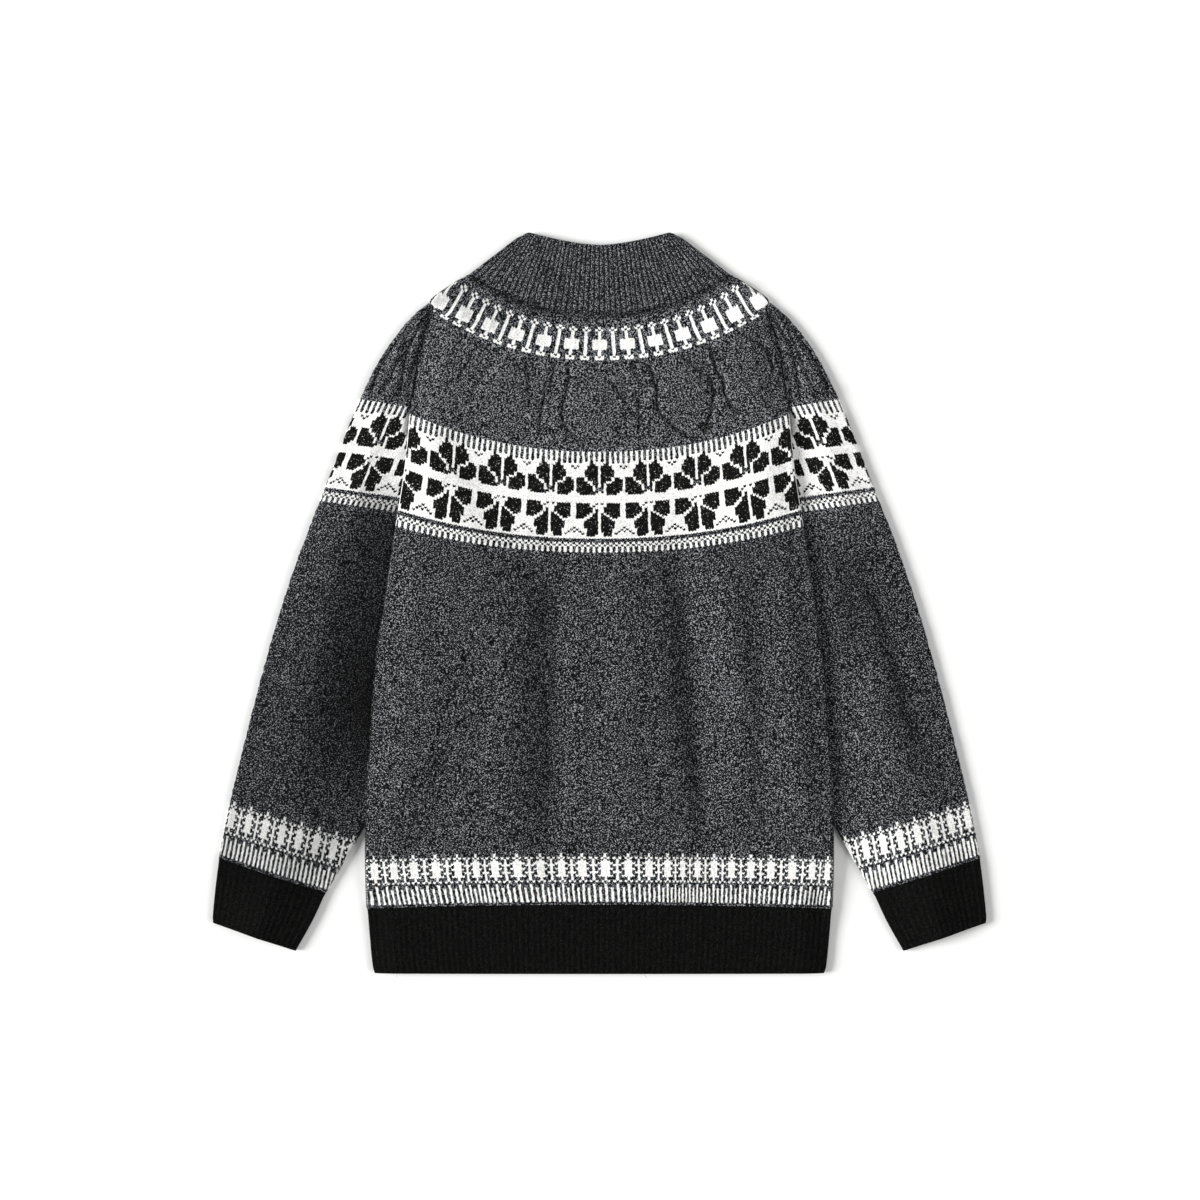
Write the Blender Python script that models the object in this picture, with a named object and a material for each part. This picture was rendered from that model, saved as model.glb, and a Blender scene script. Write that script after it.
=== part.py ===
"""Nordic yoke sweater in wool, laid flat on its front with its back up.

The frame is in metres with +Z up from the surface that it lies on. +Y runs from the hem to the collar,
and -X is the wearer's left. The origin is on the surface, under the middle of the outline.

All working sizes are in millimetres. A height, h, is measured from the hem's edge along +Y, and a half
is a distance from the centre line. Each piece is a wall of even thickness through rows that follow its
knitted courses. Ribs and cables are raised in its outer points only, and its inside stays plain.
"""

import math

import bmesh
import bpy

MM = 0.001
COLLECTION = "nordic_yoke_sweater"

LENGTH = 742.6  # hem edge to the collar's corners
WALL = 2.6  # the knitted fabric
SEAM = 0.3  # between pieces that are sewn together
EDGE_AIR = 1.0  # between two layers where they fold round at an edge
BODY_AIR, SLEEVE_AIR, COLLAR_AIR = 2.4, 3.0, 2.2  # between two layers, clear of their edges
LEAST_AIR, MOST_AIR = 0.5, 3.8  # between two layers anywhere
AIR_RUN = 28.0  # from an edge to where the air is full
COVER_MARGIN = 12.0  # how far beside the body a sleeve starts to fill out
EDGE_HEIGHT = 2 * WALL + EDGE_AIR
EDGE_RADIUS = EDGE_HEIGHT / 2
CURL_ANGLES = (90.0, 60.0, 30.0, 0.0)  # round an edge's outside, from the flat layer to its rim
BEND_ANGLES = (90.0, 0.0)  # the same, round its tight inside
SHARP_ANGLE = 50.0  # between two faces that are shaded with a crease

# The body lies on the upper part of each sleeve, which is tucked under it.
TUCKED_LIFT = EDGE_HEIGHT + 0.4  # how high it lies there
LIFT_MARGIN, LIFT_RUN = 10.0, 60.0  # where it starts to come down beside the sleeve, and over what width
TUCK_FULL, TUCK_NONE = 543.5, 581.5  # the h where it lies on the sleeve, and where it is level with it
SHOULDER_RUN = 4.0  # over which the open armhole gives way to the shoulder's fold

# A row for each knitted course where a band or a bend starts, from the hem up.
# centre_h: the course on the centre line of the back. half, edge_h: where it ends at the panel's edge.
# front_drop: how much lower the same course hangs on the centre line of the front.
BODY_COURSES = [
    dict(name="rib seam", centre_h=69.1, half=232.5, edge_h=65.1, front_drop=0.0),
    dict(name="hem band top", centre_h=119.6, half=233.5, edge_h=116.6, front_drop=0.0),
    dict(name="hip", centre_h=182.6, half=232.5, edge_h=182.6, front_drop=0.0),
    dict(name="waist", centre_h=239.6, half=228.0, edge_h=244.6, front_drop=0.0),
    dict(name="ribs", centre_h=296.6, half=223.5, edge_h=309.0, front_drop=0.0),
    dict(name="chest", centre_h=353.6, half=214.5, edge_h=372.6, front_drop=3.0),
    dict(name="flower band foot", centre_h=421.6, half=203.7, edge_h=448.1, front_drop=10.0),
    dict(name="flower band middle", centre_h=474.9, half=194.3, edge_h=509.9, front_drop=18.0),
    dict(name="flower band top", centre_h=522.1, half=189.5, edge_h=560.1, front_drop=26.0),
    dict(name="cable middle", centre_h=568.6, half=182.0, edge_h=612.6, front_drop=35.0),
    dict(name="cable top", centre_h=595.6, half=174.5, edge_h=641.6, front_drop=40.0),
    dict(name="cross band foot", centre_h=613.6, half=167.0, edge_h=662.6, front_drop=43.0),
    dict(name="armhole top", centre_h=619.6, half=166.2, edge_h=666.0, front_drop=44.0),
    dict(name="shoulder tip", centre_h=625.6, half=170.2, edge_h=672.0, front_drop=45.0),
    dict(name="shoulder", centre_h=637.6, half=153.5, edge_h=686.4, front_drop=46.0),
    dict(name="cross band top", centre_h=646.6, half=141.0, edge_h=694.2, front_drop=46.0),
    dict(name="neck seam", centre_h=657.6, half=132.5, edge_h=698.1, front_drop=46.0),
]
ARMHOLE_TOP = 12  # the course above which the body's edge is its shoulder
COURSE_BOW = 2.2  # how a course bends up from the centre line to the edge, as a power

# A row for each course of a sleeve, from the shoulder down. It runs straight from the outer fold to the
# inner edge, which is the armhole down to the underarm and the folded underarm seam below it.
SLEEVE_COURSES = [
    dict(name="shoulder tip", outer_half=170.6, outer_h=671.3, inner_half=166.5, inner_h=665.2),
    dict(name="cap 1", outer_half=184.6, outer_h=660.0, inner_half=169.8, inner_h=655.6),
    dict(name="cap 2", outer_half=202.4, outer_h=640.0, inner_half=177.4, inner_h=633.6),
    dict(name="cap 3", outer_half=222.2, outer_h=610.2, inner_half=184.4, inner_h=603.6),
    dict(name="flower band top", outer_half=239.4, outer_h=575.0, inner_half=189.2, inner_h=566.6),
    dict(name="tuck", outer_half=249.7, outer_h=550.6, inner_half=191.5, inner_h=543.6),
    dict(name="flower band middle", outer_half=258.5, outer_h=527.6, inner_half=182.5, inner_h=518.6),
    dict(name="flower band foot", outer_half=280.0, outer_h=472.6, inner_half=156.5, inner_h=454.6),
    dict(name="underarm", outer_half=291.5, outer_h=443.6, inner_half=133.5, inner_h=417.6),
    dict(name="upper arm", outer_half=309.5, outer_h=393.6, inner_half=145.5, inner_h=361.6),
    dict(name="elbow", outer_half=325.6, outer_h=342.6, inner_half=161.5, inner_h=307.6),
    dict(name="forearm 1", outer_half=342.5, outer_h=281.6, inner_half=186.5, inner_h=243.6),
    dict(name="forearm 2", outer_half=357.0, outer_h=224.6, inner_half=213.5, inner_h=186.6),
    dict(name="sleeve band top", outer_half=370.0, outer_h=170.6, inner_half=242.5, inner_h=133.6),
    dict(name="cuff seam", outer_half=381.0, outer_h=115.6, inner_half=273.5, inner_h=80.6),
]
UNDERARM_H = 417.6  # the inner_h below which the sleeve's inner edge is folded
UNDERARM_RUN = 12.0  # from the open armhole to the folded seam

CUFF_COURSES = [
    dict(name="cuff seam", outer_half=381.1, outer_h=115.2, inner_half=273.8, inner_h=80.2),
    dict(name="cuff middle", outer_half=385.0, outer_h=84.0, inner_half=286.5, inner_h=53.0),
    dict(name="cuff low", outer_half=387.5, outer_h=56.0, inner_half=301.0, inner_h=27.2),
    dict(name="cuff edge", outer_half=386.8, outer_h=50.8, inner_half=303.8, inner_h=22.6),
]

HEM_COURSES = [
    dict(name="rib seam", centre_h=68.8, half=232.5, edge_h=64.8),
    dict(name="rib middle", centre_h=36.0, half=230.2, edge_h=35.0),
    dict(name="rib low", centre_h=5.0, half=227.0, edge_h=5.3),
    dict(name="hem edge", centre_h=0.0, half=225.0, edge_h=0.4),
]

# The collar's two sides between its seam and its top. Each curve falls from the corners to the middle.
COLLAR_CORNERS = dict(seam_half=132.5, seam_h=698.4, top_half=74.5, top_h=LENGTH)
COLLAR_MIDDLES = {
    "back": dict(seam_h=657.9, top_h=728.6, seam_bow=2.2, top_bow=1.6),
    "front": dict(seam_h=611.9, top_h=684.0, seam_bow=2.2, top_bow=1.8),
}
COLLAR_SHARES = (0.0, 0.5, 0.95, 1.0)  # the collar's rows, from its seam to its top
COLLAR_BUNCHING = 0.45  # how much closer the ribs stand at the top corners

COLLAR_RIBS, HEM_RIBS, CUFF_RIBS = 44, 80, 18
RIDGE, VALLEY = 0.4, -0.7  # a rib's top and the dip beside it, from the plain fabric's outside
BOUND_EDGE = -0.6  # how much thinner a ribbed edge is at its very end
SIDE_CROWDING = 0.25  # how much closer the points of a plain panel stand at its sides
PLAIN_POINTS, BODY_POINTS, CABLE_POINTS = 18, 34, 60  # across a panel: plain, with folds, with cables
ARM_POINTS, CAP_POINTS, UNDER_POINTS, INSIDE_POINTS = 9, 14, 5, (6, 4)  # across a sleeve's layers
NEAR_EDGE = 0.97  # the share of a course whose point shows which way it leaves its edge
FOLD_FADE = 0.3  # the share of a fold's length over which it dies away at each end

# Soft folds on the upper side. x0, h0 and x1, h1: the ends. width: half its width. rise: its height.
BODY_FOLDS = [
    dict(name="left trough", x0=-56, h0=435, x1=-57, h1=100, width=17, rise=-1.9),
    dict(name="far left trough", x0=-118, h0=260, x1=-116, h1=110, width=13, rise=-0.8),
    dict(name="left swell", x0=-84, h0=420, x1=-88, h1=120, width=18, rise=0.9),
    dict(name="middle swell", x0=-4, h0=430, x1=2, h1=120, width=28, rise=0.9),
    dict(name="right trough", x0=64, h0=440, x1=96, h1=120, width=15, rise=-2.0),
    dict(name="right ridge", x0=106, h0=395, x1=122, h1=170, width=17, rise=1.3),
    dict(name="far right trough", x0=155, h0=410, x1=158, h1=200, width=14, rise=-1.0),
    dict(name="far right swell", x0=187, h0=400, x1=192, h1=150, width=15, rise=0.8),
]
SLEEVE_FOLDS = {
    "left": [dict(name="forearm trough", x0=-262, h0=400, x1=-318, h1=215, width=14, rise=-0.9)],
    "right": [dict(name="long trough", x0=257, h0=425, x1=337, h1=200, width=13, rise=-1.6)],
}

# The knitted cables on the back: large ovals of one strand, with a two-strand twist between each two.
# Distances across are shares of the panel's half width.
CABLE_FOOT, CABLE_TOP = 528.0, 611.0  # their centre_h
CABLE_PITCH, OVAL_HALF, STRAND_HALF = 0.50, 0.178, 0.036
STRAND_RISE, OVAL_RISE, TWIST_RISE = 2.0, 0.8, 1.5
OVAL_POWER = 0.7  # under 1, an oval's sides are fuller
TWIST_TURNS, TWIST_SWING = 3, 0.6  # half turns of a twist, and its strands' swing in strand halves
TWIST_SLIM = 0.8  # a twist's strand beside an oval's
CABLE_FADE, CABLE_END, CABLE_END_FADE = 0.08, 0.96, 0.04  # at their foot and top, and at the armhole
# The cables on a sleeve's cap: strands down it, at shares of the way from the outer fold.
CAP_STRANDS = (0.2, 0.5, 0.8)
CAP_STRAND_WIDTH = 4.5
CAP_END = 3.9  # the sleeve course where they have died away
CAP_FADE_IN, CAP_FADE_OUT = 0.8, 0.5  # in sleeve courses

# The centre_h of each row of the body's walls, and the sleeve course of each row of a sleeve's.
BODY_FIRST, BODY_LAST, BODY_ROWS = 94.0, 508.0, 14
CABLE_ROWS = 13
YOKE_HEIGHTS = [619.6, 622.6, 625.6, 631.6, 642.0, 657.6]
CAP_LAST, CAP_ROWS = 4.0, 12
TUCK_FIRST, TUCK_LAST, TUCK_ROWS = 4.5, 9.0, 7
ARM_FIRST, ARM_ROWS = 10.0, 5

MATERIALS = {
    "grey_knit": dict(colour=(0.052, 0.055, 0.060), roughness=0.95),
    "grey_rib": dict(colour=(0.056, 0.060, 0.066), roughness=0.95),
    "black_rib": dict(colour=(0.007, 0.007, 0.006), roughness=0.95),
}


# ---- Curves and small forms --------------------------------------------------------------------


def smooth(t):
    """0 up to t = 0, 1 from t = 1, and a soft rise between."""
    t = min(max(t, 0.0), 1.0)
    return t * t * (3.0 - 2.0 * t)


def follow(table, key, column, at):
    """The value of a column on a smooth curve through a table's rows, without overshoot."""
    rows = sorted(table, key=lambda row: row[key])
    last = len(rows) - 2
    i = max((j for j in range(last + 1) if rows[j][key] <= at), default=0)

    def slope(j):
        return (rows[j + 1][column] - rows[j][column]) / (rows[j + 1][key] - rows[j][key])

    def tangent(j):
        if j == 0 or j > last:
            return slope(min(j, last))
        before, after = slope(j - 1), slope(j)
        return 0.0 if before * after <= 0 else 2 * before * after / (before + after)

    step = rows[i + 1][key] - rows[i][key]
    t = min(max((at - rows[i][key]) / step, 0.0), 1.0)
    blend = t * t * (3 - 2 * t)
    bend = step * t * (1 - t) * (tangent(i) * (1 - t) - tangent(i + 1) * t)
    return rows[i][column] * (1 - blend) + rows[i + 1][column] * blend + bend


def mix(a, b, t):
    """The point or number at share t of the way from a to b."""
    if isinstance(a, tuple):
        return tuple(mix(p, q, t) for p, q in zip(a, b))
    return a + (b - a) * t


def spread(low, high, count):
    """count numbers, evenly spaced from low to high."""
    return [low + (high - low) * i / (count - 1) for i in range(count)]


def between(low, high, count):
    """count numbers, evenly spaced between low and high."""
    return spread(low, high, count + 2)[1:-1]


def crowded(count):
    """count shares between -1 and 1, closer together towards both ends."""
    return [t * (1 + SIDE_CROWDING * (1 - t * t)) for t in between(-1.0, 1.0, count)]


def direction(a, b):
    """The unit direction from a to b in plan."""
    run = math.hypot(b[0] - a[0], b[1] - a[1])
    return ((b[0] - a[0]) / run, (b[1] - a[1]) / run)


def fold_rise(folds, x, h):
    """How far the soft folds lift or lower the upper layer at a point."""
    rise = 0.0
    for fold in folds:
        along_x, along_h = direction((fold["x0"], fold["h0"]), (fold["x1"], fold["h1"]))
        run = math.hypot(fold["x1"] - fold["x0"], fold["h1"] - fold["h0"])
        along = (x - fold["x0"]) * along_x + (h - fold["h0"]) * along_h
        aside = (x - fold["x0"]) * along_h - (h - fold["h0"]) * along_x
        fade = smooth(along / (FOLD_FADE * run)) * smooth((run - along) / (FOLD_FADE * run))
        rise += fold["rise"] * fade * math.exp(-((aside / fold["width"]) ** 2))
    return rise


def rib(index):
    """A rib's ridge or the valley beside it, in turn."""
    return RIDGE if index % 2 else VALLEY


# ---- How the garment lies -----------------------------------------------------------------------


def body_edge(h):
    """The half width of the body at height h, down its side and round its armhole."""
    return follow(BODY_COURSES[: ARMHOLE_TOP + 1], "edge_h", "half", h)


def sleeve_inner(h):
    """The half width at which the inner edge of a sleeve or cuff lies at height h."""
    return follow(SLEEVE_COURSES[1:] + CUFF_COURSES[1:3], "inner_h", "inner_half", h)


def sleeve_outer(h):
    """The half width at which the outer fold of a sleeve or cuff lies at height h."""
    return follow(SLEEVE_COURSES[1:] + CUFF_COURSES[1:3], "outer_h", "outer_half", h)


def lift(x, h):
    """How high the body's front lies above the surface: it passes over the tucked sleeves."""
    tucked = 1.0 - smooth((h - TUCK_FULL) / (TUCK_NONE - TUCK_FULL))
    beside = (sleeve_inner(h) - abs(x) - LIFT_MARGIN) / LIFT_RUN
    return TUCKED_LIFT * tucked * (1.0 - smooth(beside))


def air(full_air, room, rise):
    """The air between two layers, with room to the nearest edge and the rise of any folds."""
    wanted = EDGE_AIR + (full_air - EDGE_AIR + rise) * smooth(room / AIR_RUN)
    return min(max(wanted, LEAST_AIR), MOST_AIR)


def body_air(x, h):
    return air(BODY_AIR, body_edge(h) - abs(x) - EDGE_RADIUS, fold_rise(BODY_FOLDS, x, h))


def sleeve_air(side, x, h):
    """Little is left where the body lies on the sleeve."""
    covered = body_edge(h) + COVER_MARGIN if h > CUFF_COURSES[0]["outer_h"] else 0.0
    room = min(sleeve_outer(h) - abs(x), abs(x) - max(covered, sleeve_inner(h)))
    return air(SLEEVE_AIR, room, fold_rise(SLEEVE_FOLDS[side], x, h))


# ---- Walls --------------------------------------------------------------------------------------


def fill(bm, first, second):
    """Faces between two rows of vertices, run by run. Two runs may hold different numbers of them."""
    for run_a, run_b in zip(first, second):
        i = j = 0
        while i < len(run_a) - 1 or j < len(run_b) - 1:
            next_i, next_j = (i + 1) / (len(run_a) - 1), (j + 1) / (len(run_b) - 1)
            if abs(next_i - next_j) < 1e-6:
                bm.faces.new((run_a[i], run_a[i + 1], run_b[j + 1], run_b[j]))
                i, j = i + 1, j + 1
            elif next_i < next_j:
                bm.faces.new((run_a[i], run_a[i + 1], run_b[j]))
                i += 1
            else:
                bm.faces.new((run_a[i], run_b[j + 1], run_b[j]))
                j += 1


def linked_runs(bm, row, closed):
    """A row's vertices. Each of its runs ends on the vertex that starts the next."""
    runs = [[bm.verts.new((x * MM, (h - LENGTH / 2) * MM, z * MM)) for x, h, z in run] for run in row]
    for run, following in zip(runs[:-1], runs[1:]):
        run.append(following[0])
    if closed:
        runs[-1].append(runs[0][0])
    return runs


def wall(name, outer, inner, material, closed=False):
    """A closed solid between rows of outer points and rows of inner points. A row is a list of runs."""
    bm = bmesh.new()
    outside, inside = ([linked_runs(bm, row, closed) for row in rows] for rows in (outer, inner))
    for rows in (outside, inside):
        for first, second in zip(rows[:-1], rows[1:]):
            fill(bm, first, second)
    for end in (0, -1):
        fill(bm, outside[end], inside[end])
        if not closed:
            fill(bm, [[row[end][end] for row in outside]], [[row[end][end] for row in inside]])
    bmesh.ops.recalc_face_normals(bm, faces=bm.faces)
    mesh = bpy.data.meshes.new(name)
    bm.to_mesh(mesh)
    bm.free()
    mesh.materials.append(bpy.data.materials[material])
    mesh.shade_smooth()
    mesh.set_sharp_from_angle(angle=math.radians(SHARP_ANGLE))
    piece = bpy.data.objects.new(name, mesh)
    bpy.data.collections[COLLECTION].objects.link(piece)


def rim(edge, inward, lower, up, closing, seam=SEAM):
    """Outer and inner points of a layer where it meets an edge, from its flat to its rim.

    edge: the edge's point in plan. inward: the unit direction into the piece. lower: the height of the
    lower layer's outside. up: 1 for the upper layer and -1 for the lower one. closing: 1 where the two
    layers fold round to meet, and 0 where the layer's edge is open and level.
    """
    sides = []
    for angles, radius in ((CURL_ANGLES, EDGE_RADIUS), (BEND_ANGLES, EDGE_RADIUS - WALL)):
        points = []
        for angle in angles:
            cos, sin = math.cos(math.radians(angle)), math.sin(math.radians(angle))
            reach = mix(EDGE_RADIUS * (1 - cos), EDGE_RADIUS - radius * cos, closing)
            height = mix(up * radius, up * (radius * sin + seam / 2 * (1 - sin)), closing)
            z = lower + EDGE_RADIUS + height
            points.append((edge[0] + inward[0] * reach, edge[1] + inward[1] * reach, z))
        sides.append(points)
    return sides


def layer(point_at, shares, lower_at, air_at, up, rise=lambda index, x, h: 0.0, inside=False):
    """Points across one layer of a flattened piece, on its outside or its inside."""
    points = []
    for index, share in enumerate(shares):
        x, h = point_at(share)
        if up > 0:
            z = lower_at(x, h) + 2 * WALL + air_at(x, h)
            z += -WALL if inside else rise(index, x, h)
        else:
            z = lower_at(x, h) + (WALL if inside else 0.0)
        points.append((x, h, z))
    return points


# ---- The body -----------------------------------------------------------------------------------


def body_course(table, centre_h, front=False):
    """The course of a table that crosses the back's centre line at centre_h, on either side."""
    half, edge_h = (follow(table, "centre_h", column, centre_h) for column in ("half", "edge_h"))
    middle_h = centre_h - (follow(table, "centre_h", "front_drop", centre_h) if front else 0.0)

    def point_at(share):
        return (share * half, middle_h + (edge_h - middle_h) * abs(share) ** COURSE_BOW)

    return point_at, 1 - EDGE_RADIUS / half


def body_closing(h):
    """The body is open to the sleeve round its armhole, and folded shut below and at the shoulder."""
    below = 1.0 - smooth((h - TUCK_FULL) / (TUCK_NONE - TUCK_FULL))
    return max(below, smooth((h - BODY_COURSES[ARMHOLE_TOP]["edge_h"]) / SHOULDER_RUN))


def body_row(course, up, shares, inside, rise=lambda index, x, h: 0.0, closing=body_closing):
    """One row of a panel, from rim to rim, with points at these shares of its flat."""
    point_at, flat = course
    shares = [flat * share for share in shares]
    middle = layer(point_at, shares, lift, body_air, up, rise, inside)
    ends = []
    for side in (-1, 1):
        edge = point_at(side)
        inward = direction(edge, point_at(side * NEAR_EDGE))
        ends.append(rim(edge, inward, lift(*edge), up, closing(edge[1]))[inside])
    return [ends[0][::-1], middle, ends[1]]


def cable_rise(share, centre_h):
    """How far the cables stand out of the back, at a share of its half width."""
    up = (centre_h - CABLE_FOOT) / (CABLE_TOP - CABLE_FOOT)
    fade = smooth(up / CABLE_FADE) * smooth((1 - up) / CABLE_FADE)
    fade *= smooth((CABLE_END - abs(share)) / CABLE_END_FADE)
    across = abs(share - CABLE_PITCH * round(share / CABLE_PITCH))
    oval = OVAL_HALF * math.sin(math.pi * min(max(up, 0.0), 1.0)) ** OVAL_POWER
    strand = STRAND_RISE * math.exp(-(((across - oval) / STRAND_HALF) ** 2))
    inside = OVAL_RISE * smooth((oval - across) / STRAND_HALF)
    swing = TWIST_SWING * STRAND_HALF * abs(math.cos(TWIST_TURNS * math.pi * up))
    offset = CABLE_PITCH / 2 - across
    twist = TWIST_RISE * math.exp(-(((offset - swing) / (TWIST_SLIM * STRAND_HALF)) ** 2))
    return fade * max(strand, inside, twist)


def body_heights():
    """The centre_h of each row of a body panel, and whether cables cross it."""
    plain = [BODY_COURSES[0]["centre_h"], *spread(BODY_FIRST, BODY_LAST, BODY_ROWS)]
    cabled = spread(CABLE_FOOT - 2, CABLE_TOP + 2, CABLE_ROWS)
    return [(h, False) for h in plain] + [(h, True) for h in cabled] + [(h, False) for h in YOKE_HEIGHTS]


def make_back():
    """The back panel, with troughs down the body and cables across the yoke."""
    outer, inner = [], []
    for centre_h, cabled in body_heights():
        course = body_course(BODY_COURSES, centre_h)
        shares = between(-1.0, 1.0, CABLE_POINTS if cabled else BODY_POINTS)

        def rise(index, x, h):
            return cable_rise(course[1] * shares[index], centre_h) if cabled else 0.0

        outer.append(body_row(course, 1, shares, False, rise))
        inner.append(body_row(course, 1, crowded(PLAIN_POINTS), True))
    wall("back", outer, inner, "grey_knit")


def make_front():
    """The front panel. It rests on the surface, so its outside is plain, and its neck is lower."""
    courses = [body_course(BODY_COURSES, centre_h, front=True) for centre_h, _ in body_heights()]
    outer = [body_row(course, -1, crowded(PLAIN_POINTS), False) for course in courses]
    inner = [body_row(course, -1, crowded(PLAIN_POINTS), True) for course in courses]
    wall("front", outer, inner, "grey_knit")


def make_hem_rib(side):
    """The ribbed hem of the front or of the back."""
    up = 1 if side == "back" else -1
    outer, inner = [], []
    for row in HEM_COURSES:
        course = body_course(HEM_COURSES, row["centre_h"])
        bound = BOUND_EDGE if row is HEM_COURSES[-1] else 0.0
        plain = crowded(PLAIN_POINTS)
        shares = between(-1.0, 1.0, 2 * HEM_RIBS - 1) if up > 0 else plain
        outer.append(body_row(course, up, shares, False, lambda i, x, h: rib(i) + bound, lambda h: 1.0))
        inner.append(body_row(course, up, plain, True, closing=lambda h: 1.0))
    wall(f"hem_rib_{side}", outer, inner, "black_rib")


# ---- The sleeves --------------------------------------------------------------------------------


def sleeve_row(side, course, counts, inside, closing, rise=lambda index, x, h: 0.0):
    """One row of a sleeve or cuff: down its upper layer, round the outer fold and back below."""
    sign = -1 if side == "left" else 1
    outer = (sign * course["outer_half"], course["outer_h"])
    inner = (sign * course["inner_half"], course["inner_h"])
    inward = direction(outer, inner)
    run = math.hypot(outer[0] - inner[0], outer[1] - inner[1])

    def point_at(share):
        return mix(inner, outer, share)

    def air_at(x, h):
        return sleeve_air(side, x, h)

    def on_surface(x, h):
        return 0.0

    margin = EDGE_RADIUS / run
    rows = []
    for up, count in ((1, counts[0]), (-1, counts[1])):
        shares = between(margin, 1 - margin, count)
        flat = layer(point_at, shares, on_surface, air_at, up, rise, inside)
        start = rim(inner, (-inward[0], -inward[1]), 0.0, up, closing)[inside]
        fold = rim(outer, inward, 0.0, up, 1.0, seam=0.0)[inside]
        rows.append((start, flat, fold))
    (start, above, fold), (finish, below, turned) = rows
    return [start[::-1], above, fold + turned[-2::-1], below[::-1], finish]


def sleeve_course(position):
    """A course between two rows of the table: 1.5 is half way from the second to the third."""
    stations = [dict(row, at=float(i)) for i, row in enumerate(SLEEVE_COURSES)]
    columns = ("outer_half", "outer_h", "inner_half", "inner_h")
    course = {column: follow(stations, "at", column, position) for column in columns}
    if course["inner_h"] > TUCK_FULL:
        course["inner_half"] = body_edge(course["inner_h"]) + SEAM
    return course


def make_sleeve(side):
    """A sleeve: strands of cable down its cap, and a seam along its inner edge below the underarm."""
    cap = spread(0.0, CAP_LAST, CAP_ROWS)
    arm = spread(TUCK_FIRST, TUCK_LAST, TUCK_ROWS) + spread(ARM_FIRST, len(SLEEVE_COURSES) - 1, ARM_ROWS)
    outer, inner = [], []
    for position in cap + arm:
        course = sleeve_course(position)
        closing = smooth((UNDERARM_H - course["inner_h"]) / UNDERARM_RUN)
        fade = smooth(position / CAP_FADE_IN) * smooth((CAP_END - position) / CAP_FADE_OUT)

        def rise(index, x, h):
            start, end = course["inner_half"], course["outer_half"]
            width = CAP_STRAND_WIDTH / (end - start)
            share = (abs(x) - start) / (end - start)
            near = min(abs(share - strand) for strand in CAP_STRANDS)
            return STRAND_RISE * fade * math.exp(-((near / width) ** 2))

        above = CAP_POINTS if position < CAP_LAST else ARM_POINTS
        outer.append(sleeve_row(side, course, (above, UNDER_POINTS), False, closing, rise))
        inner.append(sleeve_row(side, course, INSIDE_POINTS, True, closing))
    wall(f"sleeve_{side}", outer, inner, "grey_knit")


def make_cuff(side):
    outer, inner = [], []
    for course in CUFF_COURSES:
        bound = BOUND_EDGE if course is CUFF_COURSES[-1] else 0.0
        counts = (2 * CUFF_RIBS - 1, UNDER_POINTS)
        outer.append(sleeve_row(side, course, counts, False, 1.0, lambda i, x, h: rib(i) + bound))
        inner.append(sleeve_row(side, course, INSIDE_POINTS, True, 1.0))
    wall(f"cuff_{side}", outer, inner, "black_rib")


# ---- The collar ---------------------------------------------------------------------------------


def collar_curve(side, row_share):
    """The point function of one collar row on one side, by shares from -1 to 1."""
    corners, middle = COLLAR_CORNERS, COLLAR_MIDDLES[side]

    def point_at(share):
        gathered = share * (1 + COLLAR_BUNCHING * (1 - share * share))
        seam_h = mix(middle["seam_h"], corners["seam_h"], abs(share) ** middle["seam_bow"])
        top_h = mix(middle["top_h"], corners["top_h"], abs(gathered) ** middle["top_bow"])
        seam = (share * corners["seam_half"], seam_h)
        top = (gathered * corners["top_half"], top_h)
        return mix(seam, top, row_share)

    return point_at


def collar_layer(side, row_share, inside):
    """The runs of one collar row on one side, from the left fold to the right one."""
    up = 1 if side == "back" else -1
    point_at = collar_curve(side, row_share)
    half = point_at(1)[0]
    flat = 1 - EDGE_RADIUS / half
    ribbed = up > 0 and not inside
    plain = [flat * share for share in crowded(PLAIN_POINTS)]
    shares = between(-flat, flat, 2 * COLLAR_RIBS - 1) if ribbed else plain
    bound = BOUND_EDGE if row_share == 1.0 else 0.0

    def on_surface(x, h):
        return 0.0

    def air_at(x, h):
        return air(COLLAR_AIR, half - abs(x), 0.0)

    middle = layer(point_at, shares, on_surface, air_at, up, lambda i, x, h: rib(i) + bound, inside)
    folds = []
    for end in (-1, 1):
        inward = direction(point_at(end), point_at(end * NEAR_EDGE))
        folds.append(rim(point_at(end), inward, 0.0, up, 1.0, seam=0.0)[inside])
    return [folds[0][::-1], middle, folds[1]]


def make_collar():
    """The ribbed stand collar: one tube, folded flat at the sides."""
    rings = {False: [], True: []}
    for row_share in COLLAR_SHARES:
        for inside, rows in rings.items():
            above = collar_layer("back", row_share, inside)
            left, below, right = collar_layer("front", row_share, inside)
            rows.append(above + [right[-2::-1], below[::-1], left[:0:-1]])
    wall("collar", rings[False], rings[True], "grey_rib", closed=True)


# ---- The whole ----------------------------------------------------------------------------------


def clear_scene():
    for thing in list(bpy.data.objects):
        bpy.data.objects.remove(thing, do_unlink=True)


def make_materials():
    for name, look in MATERIALS.items():
        material = bpy.data.materials.new(name)
        material.use_nodes = True
        shader = material.node_tree.nodes["Principled BSDF"]
        shader.inputs["Base Color"].default_value = (*look["colour"], 1.0)
        shader.inputs["Roughness"].default_value = look["roughness"]
        shader.inputs["Metallic"].default_value = 0.0


def main():
    clear_scene()
    make_materials()
    collection = bpy.data.collections.new(COLLECTION)
    bpy.context.scene.collection.children.link(collection)
    make_back()
    make_front()
    make_collar()
    for side in ("front", "back"):
        make_hem_rib(side)
    for side in ("left", "right"):
        make_sleeve(side)
        make_cuff(side)


main()
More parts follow.
